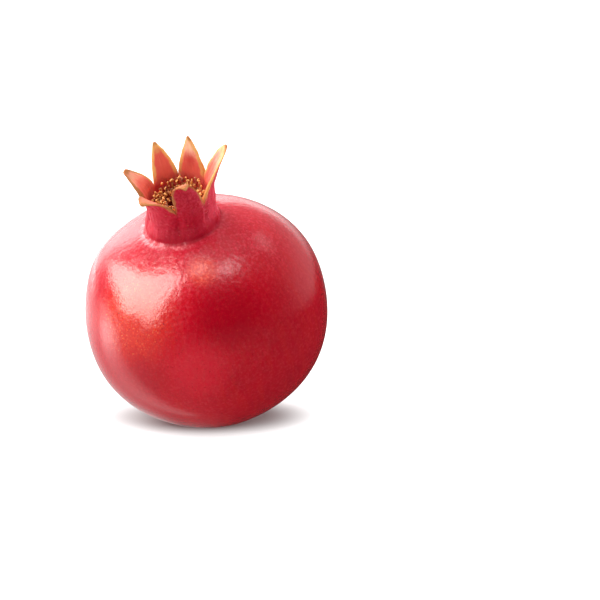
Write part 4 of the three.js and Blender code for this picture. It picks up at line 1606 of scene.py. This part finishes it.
@dataclass(frozen=True)
class CalyxFinish:
    """Matt skin of the crown: wine outside, coral inside, with dry ochre margins and brown tips."""

    wine: Colour = (0.29, 0.0010, 0.011)
    dust_and_sheen: Colour = (0.50, 0.034, 0.060)
    scar: Colour = (0.66, 0.17, 0.19)
    gold: Colour = (0.62, 0.30, 0.10)
    coral: Colour = (0.60, 0.106, 0.072)
    blood: Colour = (0.62, 0.040, 0.042)
    stain: Colour = (0.44, 0.050, 0.034)
    cream: Colour = (0.78, 0.58, 0.38)
    ochre: Colour = (0.59, 0.345, 0.100)
    tan: Colour = (0.30, 0.118, 0.036)
    rust: Colour = (0.52, 0.21, 0.050)
    bark: Colour = (0.34, 0.13, 0.04)
    roughness: float = 0.45
    shine: Span = (-0.06, 0.08)
    gloss: float = 0.1
    relief_strength: float = 0.9
    relief_depth: float = 0.00014
    deep_front_azimuth: float = -78.0
    brown_azimuth: float = -125.0
    brown_span: Span = (-2.0, 5.0)
    scar_reach: float = -1.0
    glow_share: float = 0.3
    glow_radius: Colour = (1.0, 0.3, 0.2)
    glow_depth: float = 0.0012

    def dried(self, sheet: NodeSheet, place: Socket, usual: Colour) -> Socket:
        """A dry colour that turns tan on the crown's brown side."""
        side = toward(sheet, place, self.brown_azimuth)
        return sheet.blend(sheet.ease(side, *self.brown_span), usual, self.tan)

    def outer_colour(self, sheet: NodeSheet, place: Socket, streaks: Socket) -> Socket:
        """Colour of the neck and of the sepals' outer faces: deep wine at the front, paler toward the
        sides and most toward the right, partly powdery bloom and partly painted sheen.

        Args:
            sheet: The material's sheet.
            place: Places in the fruit's frame, in millimetres.
            streaks: A mask of streaks along the grain.

        Returns:
            The colour.
        """
        flow = sheet.mark("flow", "Vector")
        # Paler on the sides and most on the right, deep where the neck faces the front: partly powdery
        # bloom, partly painted sheen of light grazing the sides.
        side_sheen = sheet.ease(toward(sheet, flow, self.deep_front_azimuth), 43.0, 30.0)
        side_sheen = sheet.times(side_sheen, sheet.ease(toward(sheet, flow, 0.0), -26.0, 26.0, 0.2, 1.0))
        outer = sheet.blend(sheet.times(sheet.mix(streaks, 0.3, 1.0), side_sheen), self.wine, self.dust_and_sheen)
        grains = sheet.effect(Effect.MOTTLE, place, 0.9, 0.5)
        chalk_and_sheen = sheet.plus(side_sheen, sheet.ease(sheet.mark("along"), 0.0, 0.3, 0.0, 0.45))
        outer = sheet.blend(sheet.times(grains, sheet.mix(chalk_and_sheen, 0.2, 0.75)), outer, self.dust_and_sheen)
        powder = sheet.effect(Effect.SPECKLE, place, 1.0, 0.5)
        outer = sheet.blend(sheet.times(powder, sheet.mix(side_sheen, 0.08, 0.6)), outer, self.scar)
        flecks = sheet.effect(Effect.SPECKLE, place, 0.8, 0.28)
        outer = sheet.blend(sheet.times(flecks, 0.45), outer, self.gold)
        # Deep wine over the neck's lowest millimetres by the crease: painted shade in the crease.
        foot = sheet.ease(sheet.mark("crease"), -5.0, -1.0)
        outer = sheet.blend(sheet.times(foot, 0.85), outer, self.wine)
        return sheet.blend(crease_scar(sheet, place, flow, self.scar_reach), outer, self.scar)

    def inner_colour(self, sheet: NodeSheet, place: Socket, streaks: Socket) -> Socket:
        """Colour of the sepals' inner faces: blood red at the foot, coral, then cream or ochre.

        Args:
            sheet: The material's sheet.
            place: Places in the fruit's frame, in millimetres.
            streaks: A mask of streaks along the grain.

        Returns:
            The colour.
        """
        along, tone = sheet.mark("along"), sheet.mark("tone")
        patches = sheet.effect(Effect.MOTTLE, place, 4.0, 0.5)
        height = sheet.plus(along, sheet.times(sheet.less(patches, 0.5), 0.14))
        inner = sheet.blend(sheet.ease(height, -0.16, 0.2), self.blood, self.coral)
        pale = sheet.times(sheet.ease(height, 0.35, 0.85), sheet.ease(tone, 0.2, 1.0, 0.0, 0.9))
        inner = sheet.blend(pale, inner, self.cream)
        dry = sheet.times(sheet.ease(height, 0.6, 0.95), sheet.ease(tone, 0.0, 1.0, 0.9, 0.25))
        inner = sheet.blend(dry, inner, self.dried(sheet, place, self.ochre))
        inner = sheet.blend(sheet.times(sheet.mark("stain"), 0.9), inner, self.stain)
        inner = sheet.blend(sheet.times(streaks, 0.15), inner, self.dust_and_sheen)
        return sheet.blend(sheet.mark("cut"), inner, self.blood)

    def colour(self, sheet: NodeSheet, place: Socket, flow: Socket) -> Socket:
        """Colour of the whole crown, with its dry margins and tips.

        Args:
            sheet: The material's sheet.
            place: Places in the fruit's frame, in millimetres.
            flow: Places whose third value runs along the grain.

        Returns:
            The colour.
        """
        streaks = sheet.effect(Effect.MOTTLE, sheet.stretch(flow, (1, 1, 1.1)), 4.0, 0.5)
        outer, inner = self.outer_colour(sheet, place, streaks), self.inner_colour(sheet, place, streaks)
        inside, along = sheet.mark("inside"), sheet.mark("along")
        colour = sheet.blend(sheet.ease(inside, 0.25, 0.6), outer, inner)
        ragged = sheet.effect(Effect.MOTTLE, place, 1.6, 0.5)
        margin = sheet.less(sheet.mark("margin"), sheet.times(ragged, 0.4))
        broad = sheet.effect(Effect.MOTTLE, place, 9.0, 0.5)
        reach = sheet.mix(sheet.ease(inside, 0.0, 0.5), sheet.mix(broad, 0.25, 1.0), 1.1)
        dry = sheet.ease(sheet.math("DIVIDE", margin, reach), 1.0, 0.1)
        dry = sheet.times(dry, sheet.ease(along, 0.1, 0.3))
        ochre = self.dried(sheet, place, self.ochre)
        colour = sheet.blend(sheet.times(dry, 0.85), colour, ochre)
        edge = sheet.times(sheet.ease(inside, 0.05, 0.35), sheet.ease(inside, 1.0, 0.65))
        rust = self.dried(sheet, place, self.rust)
        colour = sheet.blend(sheet.times(edge, 0.8), colour, rust)
        tip = sheet.plus(along, sheet.times(ragged, 0.06))
        return sheet.blend(sheet.ease(tip, 0.9, 1.04), colour, self.bark)

    def material(self) -> bpy.types.Material:
        """Builds the finish.

        Returns:
            The material.
        """
        material, sheet, shader = new_material("Calyx skin")
        place, flow = sheet.mark("place", "Vector"), sheet.mark("flow", "Vector")
        fibres = sheet.effect(Effect.GRAIN, sheet.stretch(flow, (1, 1, 1.2)), 1.2, 0.6)
        grit = sheet.effect(Effect.GRAIN, place, 0.4, 0.5)
        relief = sheet.plus(sheet.times(fibres, 0.6), sheet.times(grit, 0.4))
        shine = sheet.ease(sheet.effect(Effect.MOTTLE, place, 1.5, 0.5), 0, 1, *self.shine)
        inputs = {
            "Base Color": self.colour(sheet, place, flow),
            "Roughness": sheet.plus(self.roughness, shine),
            "Normal": sheet.bump(relief, self.relief_strength, self.relief_depth),
            "Specular IOR Level": self.gloss,
            "Subsurface Weight": self.glow_share,
            "Subsurface Radius": self.glow_radius,
            "Subsurface Scale": self.glow_depth,
        }
        sheet.give(shader, inputs)
        return material


@dataclass(frozen=True)
class StamenFinish:
    """Dried stamens: golden-brown anthers with painted shade in their grooves, on reddish threads."""

    gold: Colour = (0.66, 0.26, 0.05)
    straw: Colour = (0.86, 0.44, 0.11)
    brown: Colour = (0.22, 0.045, 0.012)
    thread: Colour = (0.38, 0.05, 0.018)
    floor: Colour = (0.20, 0.006, 0.008)
    roughness: float = 0.55
    relief_strength: float = 0.6
    relief_depth: float = 0.00006

    def material(self) -> bpy.types.Material:
        """Builds the finish.

        Returns:
            The material.
        """
        material, sheet, shader = new_material("Dried stamens")
        place = sheet.mark("place", "Vector")
        tone, along, hollow = sheet.mark("tone"), sheet.mark("along"), sheet.mark("cut")
        colour = sheet.blend(sheet.ease(tone, 0.45, 1.0), self.gold, self.straw)
        colour = sheet.blend(sheet.ease(tone, 0.5, 0.0, 0.0, 0.95), colour, self.brown)
        patches = sheet.effect(Effect.MOTTLE, place, 0.6, 0.4)
        colour = sheet.blend(sheet.times(patches, 0.45), colour, self.brown)
        # The anthers' grooves turn brown: painted shade in the hollows.
        colour = sheet.blend(sheet.ease(hollow, 0.1, 0.9, 0.0, 0.9), colour, self.brown)
        thread = sheet.times(sheet.ease(along, 0.0, 0.02), sheet.ease(along, 1.0, 0.55, 0.35, 1.0))
        colour = sheet.blend(thread, colour, self.thread)
        colour = sheet.blend(sheet.ease(tone, -0.5, -1.0), colour, self.floor)
        grit = sheet.effect(Effect.GRAIN, place, 0.3, 0.6)
        bump = sheet.bump(grit, self.relief_strength, self.relief_depth)
        sheet.give(shader, {"Base Color": colour, "Normal": bump, "Roughness": self.roughness})
        return material


@dataclass(frozen=True)
class StemFinish:
    """Woody stem: grey-brown bark with a paler cut end."""

    bark: Colour = (0.20, 0.12, 0.06)
    furrow: Colour = (0.07, 0.035, 0.018)
    heart: Colour = (0.52, 0.38, 0.21)
    roughness: float = 0.8
    relief_strength: float = 0.8
    relief_depth: float = 0.00012

    def material(self) -> bpy.types.Material:
        """Builds the finish.

        Returns:
            The material.
        """
        material, sheet, shader = new_material("Stem wood")
        place, flow = sheet.mark("place", "Vector"), sheet.mark("flow", "Vector")
        furrows = sheet.effect(Effect.MOTTLE, sheet.stretch(flow, (1, 1, 0.25)), 0.8, 0.5)
        colour = sheet.blend(furrows, self.bark, self.furrow)
        flecks = sheet.effect(Effect.SPECKLE, place, 0.4, 0.4)
        colour = sheet.blend(sheet.times(flecks, 0.5), colour, self.heart)
        colour = sheet.blend(sheet.mark("cut"), colour, sheet.blend(flecks, self.heart, self.bark))
        grit = sheet.effect(Effect.GRAIN, place, 0.35, 0.6)
        bump = sheet.bump(grit, self.relief_strength, self.relief_depth)
        sheet.give(shader, {"Base Color": colour, "Normal": bump, "Roughness": self.roughness})
        return material


Outline = tuple[Triple, ...]


@dataclass(frozen=True)
class SoftPanel:
    """A glowing cloth panel, stretched over part of a dome round the fruit.

    The outline's corners are (azimuth, elevation, share): degrees, and the share of the glow that is
    reached near that corner. The feather is the share of the way from the outline to the panel's
    middle over which the glow rises to that. A sheer panel adds its glow to what lies behind it.
    """

    name: str
    glow: float
    feather: float
    outline: Outline
    distance: float = 2.5
    lights: bool = True
    mirrored: bool = True
    sheer: bool = False
    colour: Colour = (1.0, 1.0, 1.0)

    def material(self) -> bpy.types.Material:
        """A glow that fades toward the outline.

        Returns:
            The material.
        """
        material, sheet, shader = new_material(self.name)
        nodes = sheet.tree.nodes
        nodes.remove(shader)
        strength = sheet.times(sheet.mark("glow"), self.glow)
        glow = sheet.add("ShaderNodeEmission", {"Color": self.colour, "Strength": strength})
        if self.sheer:
            clear = sheet.add("ShaderNodeBsdfTransparent")
            glow = sheet.add("ShaderNodeAddShader", {0: glow.outputs[0], 1: clear.outputs[0]})
        sheet.feed(nodes["Material Output"].inputs["Surface"], glow.outputs[0])
        return material

    def build(self, centre: Vector) -> None:
        """Hangs the panel.

        Args:
            centre: The dome's centre, in metres.
        """
        corners = np.array(self.outline)
        turns = np.radians(corners[:, :2])
        edge = polar(np.cos(turns[:, 1]), turns[:, 0], np.sin(turns[:, 1]))
        hub = edge.mean(axis=0)
        inner = lerp(edge, hub, self.feather)
        ways = np.concatenate([hub[None], inner, edge])
        ways = ways / np.linalg.norm(ways, axis=1, keepdims=True)
        points = ways * self.distance + np.array(centre)
        count = len(edge)
        faces = []
        for i in range(count):
            a, b = 1 + i, 1 + (i + 1) % count
            faces += [(0, a, b), (a, a + count, b + count, b)]
        mesh = bpy.data.meshes.new(self.name)
        mesh.from_pydata(points.tolist(), [], faces)
        glow = mesh.attributes.new("glow", "FLOAT", "POINT")
        glow.data.foreach_set("value", np.concatenate([[1.0], corners[:, 2], 0 * corners[:, 2]]))
        mesh.materials.append(self.material())
        panel = bpy.data.objects.new(self.name, mesh)
        panel.visible_camera = False
        panel.visible_shadow = False
        panel.visible_diffuse = self.lights
        panel.visible_glossy = self.mirrored
        bpy.context.scene.collection.objects.link(panel)


KEY_OUTLINE: Outline = (
    (139, 14.5, 0.4), (141, 20, 0.45), (150, 28, 0.65), (161, 34.5, 0.95), (180, 41, 0.85),
    (-164, 50, 0.85), (-152, 57, 0.9), (-138, 61.5, 0.9), (-123, 55, 0.9), (-126.5, 39, 0.95),
    (-134, 23, 0.9), (-138, 7, 0.7), (-144, -1.5, 0.5), (-154, 8, 0.75), (-165, 4, 0.85),
    (-171, 7.5, 0.9), (176, 16, 0.9), (160, 16.5, 0.8),
)
KEY_LIGHT_OUTLINE: Outline = (
    (145, 14, 1), (143, 40, 1), (142, 64, 1), (168, 67, 1),
    (196, 64, 1), (196, 40, 1), (194, 14, 1), (169, 12, 1),
)
BACK_RIGHT_OUTLINE: Outline = (
    (-6, 1, 1), (28, 0.5, 1), (62, 0.5, 1), (96, 1, 1), (98, 12, 1),
    (96, 24, 1), (62, 25, 1), (28, 25, 1), (-6, 24, 1),
)
BACK_LEFT_OUTLINE: Outline = (
    (96, 0, 0.3), (94, 30, 0.4), (110, 44, 0.6), (128, 54, 1), (150, 50, 1), (151, 33, 1), (137, 11, 0.8),
)
RIM_OUTLINE: Outline = (
    (100, -9, 0.2), (92, 6, 0.2), (104, 17, 0.1), (119, 20, 0.4),
    (134, 20, 1), (143, 15, 1), (139, 4, 1), (126, -8, 0.7),
)
LOW_LEFT_OUTLINE: Outline = (
    (147, -6, 1), (190, -6, 1), (186, 3.5, 1), (172, 6, 1), (158, 4, 1), (149, 2, 1),
)
BACK_OUTLINE: Outline = (
    (50, -2, 1), (58, 14, 1), (70, 26, 1), (90, 34, 1), (116, 36, 1), (124, 20, 1), (122, -2, 1),
)
RIGHT_OUTLINE: Outline = ((8, 44, 1), (30, 36, 1), (56, 42, 1), (58, 58, 1), (34, 66, 1), (10, 60, 1))
OVERHEAD_OUTLINE: Outline = ((-145, 67, 1), (-118, 57, 1), (-90, 59, 1), (-86, 72, 1), (-115, 77, 1))
FRONT_RIGHT_OUTLINE: Outline = ((-90, 59, 1), (-64, 50, 1), (-36, 56, 1), (-24, 70, 1), (-60, 75, 1))


@dataclass(frozen=True)
class SkyPatch:
    """A soft round patch of sky that lights matt surfaces but isn't mirrored; angles in degrees."""

    azimuth: float
    elevation: float
    inner: float
    outer: float
    glow: float

    def strength(self, sheet: NodeSheet, way: Socket) -> Socket:
        """How much the patch gives in a direction.

        Args:
            sheet: The sky's sheet.
            way: The direction.

        Returns:
            The light's strength.
        """
        azimuth, elevation = math.radians(self.azimuth), math.radians(self.elevation)
        axis = tuple(float(value) for value in polar(math.cos(elevation), azimuth, math.sin(elevation)))
        rim, core = math.cos(math.radians(self.outer)), math.cos(math.radians(self.inner))
        return sheet.ease(sheet.dot(way, axis), rim, core, 0.0, self.glow)


@dataclass(frozen=True)
class Studio:
    """The pale floor, the white surroundings, the soft panels and the camera."""

    stance: Stance
    image_side: int = 600
    belly_at: Span = (207.0, 309.0)
    pixel: float = 0.00036
    camera_distance: float = 0.64
    camera_elevation: float = 16.0
    sensor: float = 36.0
    floor_side: float = 12.0
    floor_white: float = 0.36
    floor_bounce: float = 0.2
    fill_span: Span = (0.2, -0.3)
    floor_fill: Span = (0.76, 1.425)
    floor_glow: float = 0.9
    glow_from: float = 0.01
    glow_to: float = 0.025
    glow_shape: Triple = (0.5, 1.0, 1.0)
    glow_centre: Triple = (0.0, 0.004, 0.0)
    near_sheen: float = 0.25
    near_toward: float = -170.0
    front_sheen: float = 0.03
    back_sheen: float = 1.5
    sheen_toward: float = 150.0
    far_sheen: float = 2.1
    far_toward: float = 117.0
    far_edges: Span = (0.90, 0.985)
    streak_sheen: float = 3.8
    streak_toward: float = 173.2
    streak_edge: float = 0.965
    streak_apex: Triple = (0.0, -0.027, 0.0)
    sky_top: float = 0.25
    sky_back: float = 0.5
    sky_front: float = 0.0
    sky_patches: tuple[SkyPatch, ...] = (
        SkyPatch(-143.0, 8.0, 18.0, 40.0, 3.1),
        SkyPatch(-76.0, 71.0, 12.0, 34.0, 3.3),
        SkyPatch(0.0, 90.0, 20.0, 40.0, 2.9),
    )
    panels: tuple[SoftPanel, ...] = (
        SoftPanel("key_panel", 13.4, 0.16, KEY_OUTLINE, lights=False, colour=(1.0, 0.97, 0.89)),
        SoftPanel("key_light", 12.0, 0.3, KEY_LIGHT_OUTLINE, mirrored=False),
        SoftPanel("back_right_light", 8.6, 0.4, BACK_RIGHT_OUTLINE, mirrored=False),
        SoftPanel("back_left_panel", 5.0, 0.5, BACK_LEFT_OUTLINE, lights=False),
        SoftPanel("rim_panel", 2.1, 0.4, RIM_OUTLINE, distance=2.2, lights=False, sheer=True),
        SoftPanel("low_left_panel", 2.9, 0.5, LOW_LEFT_OUTLINE, lights=False),
        SoftPanel("back_panel", 2.2, 0.7, BACK_OUTLINE, lights=False),
        SoftPanel("right_panel", 1.6, 0.7, RIGHT_OUTLINE, lights=False),
        SoftPanel("overhead_panel", 6.0, 0.9, OVERHEAD_OUTLINE, lights=False),
        SoftPanel("front_right_panel", 6.5, 0.9, FRONT_RIGHT_OUTLINE, lights=False),
    )

    @property
    def belly_centre(self) -> Vector:
        """Where the belly's centre lies, in metres."""
        return Vector([value * MILLIMETRE for value in self.stance.belly_centre])

    def floor_sheen(self, sheet: NodeSheet, place: Socket, away: Socket) -> Socket:
        """What the floor gives to mirrored rays: bright at the left and behind, dark in front.

        Args:
            sheet: The floor's sheet.
            place: Places on the floor, in metres.
            away: Their distance from the fruit.

        Returns:
            The glow's strength.
        """
        axes = sheet.axes(place)

        def facing(azimuth: float) -> Socket:
            """Cosine of the angle between a place and an azimuth.

            Args:
                azimuth: The azimuth, in degrees.

            Returns:
                The cosine.
            """
            turn = math.radians(azimuth)
            east = sheet.times(axes[0], math.cos(turn))
            north = sheet.times(axes[1], math.sin(turn))
            return sheet.math("DIVIDE", sheet.plus(east, north), away)

        behind = sheet.ease(facing(self.sheen_toward), -0.1, 1.1, self.front_sheen, self.back_sheen)
        behind = sheet.times(behind, sheet.ease(axes[1], 0.12, 0.5, 1.0, 0.6))
        behind = sheet.times(behind, sheet.ease(away, 0.05, 0.22, 0.4, 1.0))
        ray = sheet.offset(place, self.streak_apex)
        ray = sheet.add("ShaderNodeVectorMath", {0: ray}, operation="NORMALIZE").outputs[0]
        along = toward(sheet, ray, self.streak_toward)
        streak = sheet.ease(along, self.streak_edge, 1.0, 0.0, self.streak_sheen)
        streak = sheet.times(streak, sheet.ease(away, 0.05, 0.17, 0.15, 1.0))
        streak = sheet.times(streak, sheet.ease(away, 0.35, 1.2, 1.0, 0.3))
        far = sheet.ease(facing(self.far_toward), *self.far_edges, 0.0, self.far_sheen)
        far = sheet.times(far, sheet.ease(away, 0.35, 0.75))
        behind = sheet.plus(behind, far)
        near = sheet.ease(away, 0.06, 0.25, self.near_sheen, 0.0)
        near = sheet.times(near, sheet.ease(facing(self.near_toward), -0.6, 0.6, 0.1, 1.0))
        return sheet.plus(sheet.plus(near, behind), streak)

    def build_floor(self) -> None:
        """Lays the pale floor, which glows a little away from the fruit so that it stays white."""
        half = self.floor_side / 2
        corners = [(-half, -half, 0), (half, -half, 0), (half, half, 0), (-half, half, 0)]
        mesh = bpy.data.meshes.new("floor")
        mesh.from_pydata(corners, [], [(0, 1, 2, 3)])
        floor = bpy.data.objects.new("floor", mesh)
        bpy.context.scene.collection.objects.link(floor)
        material, sheet, shader = new_material("Pale floor")
        place = sheet.add("ShaderNodeTexCoord").outputs["Object"]
        away = sheet.length(place)
        path = sheet.add("ShaderNodeLightPath").outputs
        matt, mirrored = path["Is Diffuse Ray"], path["Is Glossy Ray"]
        off = sheet.stretch(sheet.offset(place, self.glow_centre), self.glow_shape)
        glow = sheet.ease(sheet.length(off), self.glow_from, self.glow_to, 0.0, self.floor_glow)
        strength = sheet.times(glow, path["Is Camera Ray"])
        sheen = sheet.times(self.floor_sheen(sheet, place, away), mirrored)
        strength = sheet.plus(strength, sheen)
        fill = sheet.ease(sheet.axes(place)[1], *self.fill_span, *self.floor_fill)
        strength = sheet.plus(strength, sheet.times(matt, fill))
        white = sheet.blend(matt, (self.floor_white,) * 3, (self.floor_bounce,) * 3)
        inputs = {
            "Base Color": sheet.blend(mirrored, white, (0.0, 0.0, 0.0)),
            "Emission Color": (1.0, 1.0, 1.0),
            "Emission Strength": strength,
            "Roughness": 1.0,
            "Specular IOR Level": 0.0,
        }
        sheet.give(shader, inputs)
        material.cycles.emission_sampling = "NONE"
        mesh.materials.append(material)

    def build_world(self) -> None:
        """Surrounds the fruit with light from above and behind, and with a dark front."""
        world = bpy.data.worlds.new("Studio")
        bpy.context.scene.world = world
        world.use_nodes = True
        sheet = NodeSheet(world.node_tree)
        way = sheet.add("ShaderNodeTexCoord").outputs["Generated"]
        axes = sheet.axes(way)
        sides = sheet.ease(axes[1], -0.75, 0.5, self.sky_front, self.sky_back)
        strength = sheet.mix(sheet.ease(axes[2], 0.7, 0.95), sides, self.sky_top)
        path = sheet.add("ShaderNodeLightPath").outputs
        for patch in self.sky_patches:
            matt = sheet.times(patch.strength(sheet, way), path["Is Diffuse Ray"])
            strength = sheet.plus(strength, matt)
        strength = sheet.mix(path["Is Camera Ray"], strength, 1.0)
        background = world.node_tree.nodes["Background"]
        sheet.give(background, {"Color": (1.0, 1.0, 1.0), "Strength": strength})
        world.cycles.sampling_method = "NONE"

    def build_camera(self) -> None:
        """Sets up the camera so that the belly's centre falls on its place in the frame."""
        tilt = math.radians(self.camera_elevation)
        right = Vector((1.0, 0.0, 0.0))
        up = Vector((0.0, math.sin(tilt), math.cos(tilt)))
        to_camera = Vector((0.0, -math.cos(tilt), math.sin(tilt)))
        middle = self.image_side / 2
        aim = self.belly_centre + right * (middle - self.belly_at[0]) * self.pixel
        aim += up * (self.belly_at[1] - middle) * self.pixel
        data = bpy.data.cameras.new("camera")
        data.sensor_width = self.sensor
        data.lens = self.sensor * self.camera_distance / (self.image_side * self.pixel)
        camera = bpy.data.objects.new("camera", data)
        camera.location = aim + to_camera * self.camera_distance
        camera.rotation_euler = Matrix((right, up, to_camera)).transposed().to_euler()
        bpy.context.scene.collection.objects.link(camera)
        bpy.context.scene.camera = camera

    def build(self) -> None:
        """Builds the whole studio."""
        self.build_camera()
        self.build_floor()
        self.build_world()
        for panel in self.panels:
            panel.build(self.belly_centre)
        bpy.context.scene.view_settings.view_transform = "Standard"


def report_pieces(*pieces: Piece) -> None:
    """Logs each piece's name and size.

    Args:
        *pieces: The pieces.
    """
    for piece in pieces:
        triangles = sum(len(polygon.vertices) - 2 for polygon in piece.data.polygons)
        LOG.info("%s: %d triangles", piece.name, triangles)


def main() -> None:
    """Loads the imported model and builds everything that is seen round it."""
    logging.basicConfig(level=logging.INFO, format="%(name)s: %(message)s")
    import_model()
    workshop, form = Workshop(), RindForm()
    report_pieces(Rind(workshop, RindSkin(form), RindFinish(), CalyxFinish()).build())
    report_pieces(*StamenBunch(workshop, form, StamenFinish()).build())
    report_pieces(StemStub(workshop, form, StemFinish()).build())
    Studio(workshop.stance).build()


if __name__ == "__main__":
    main()
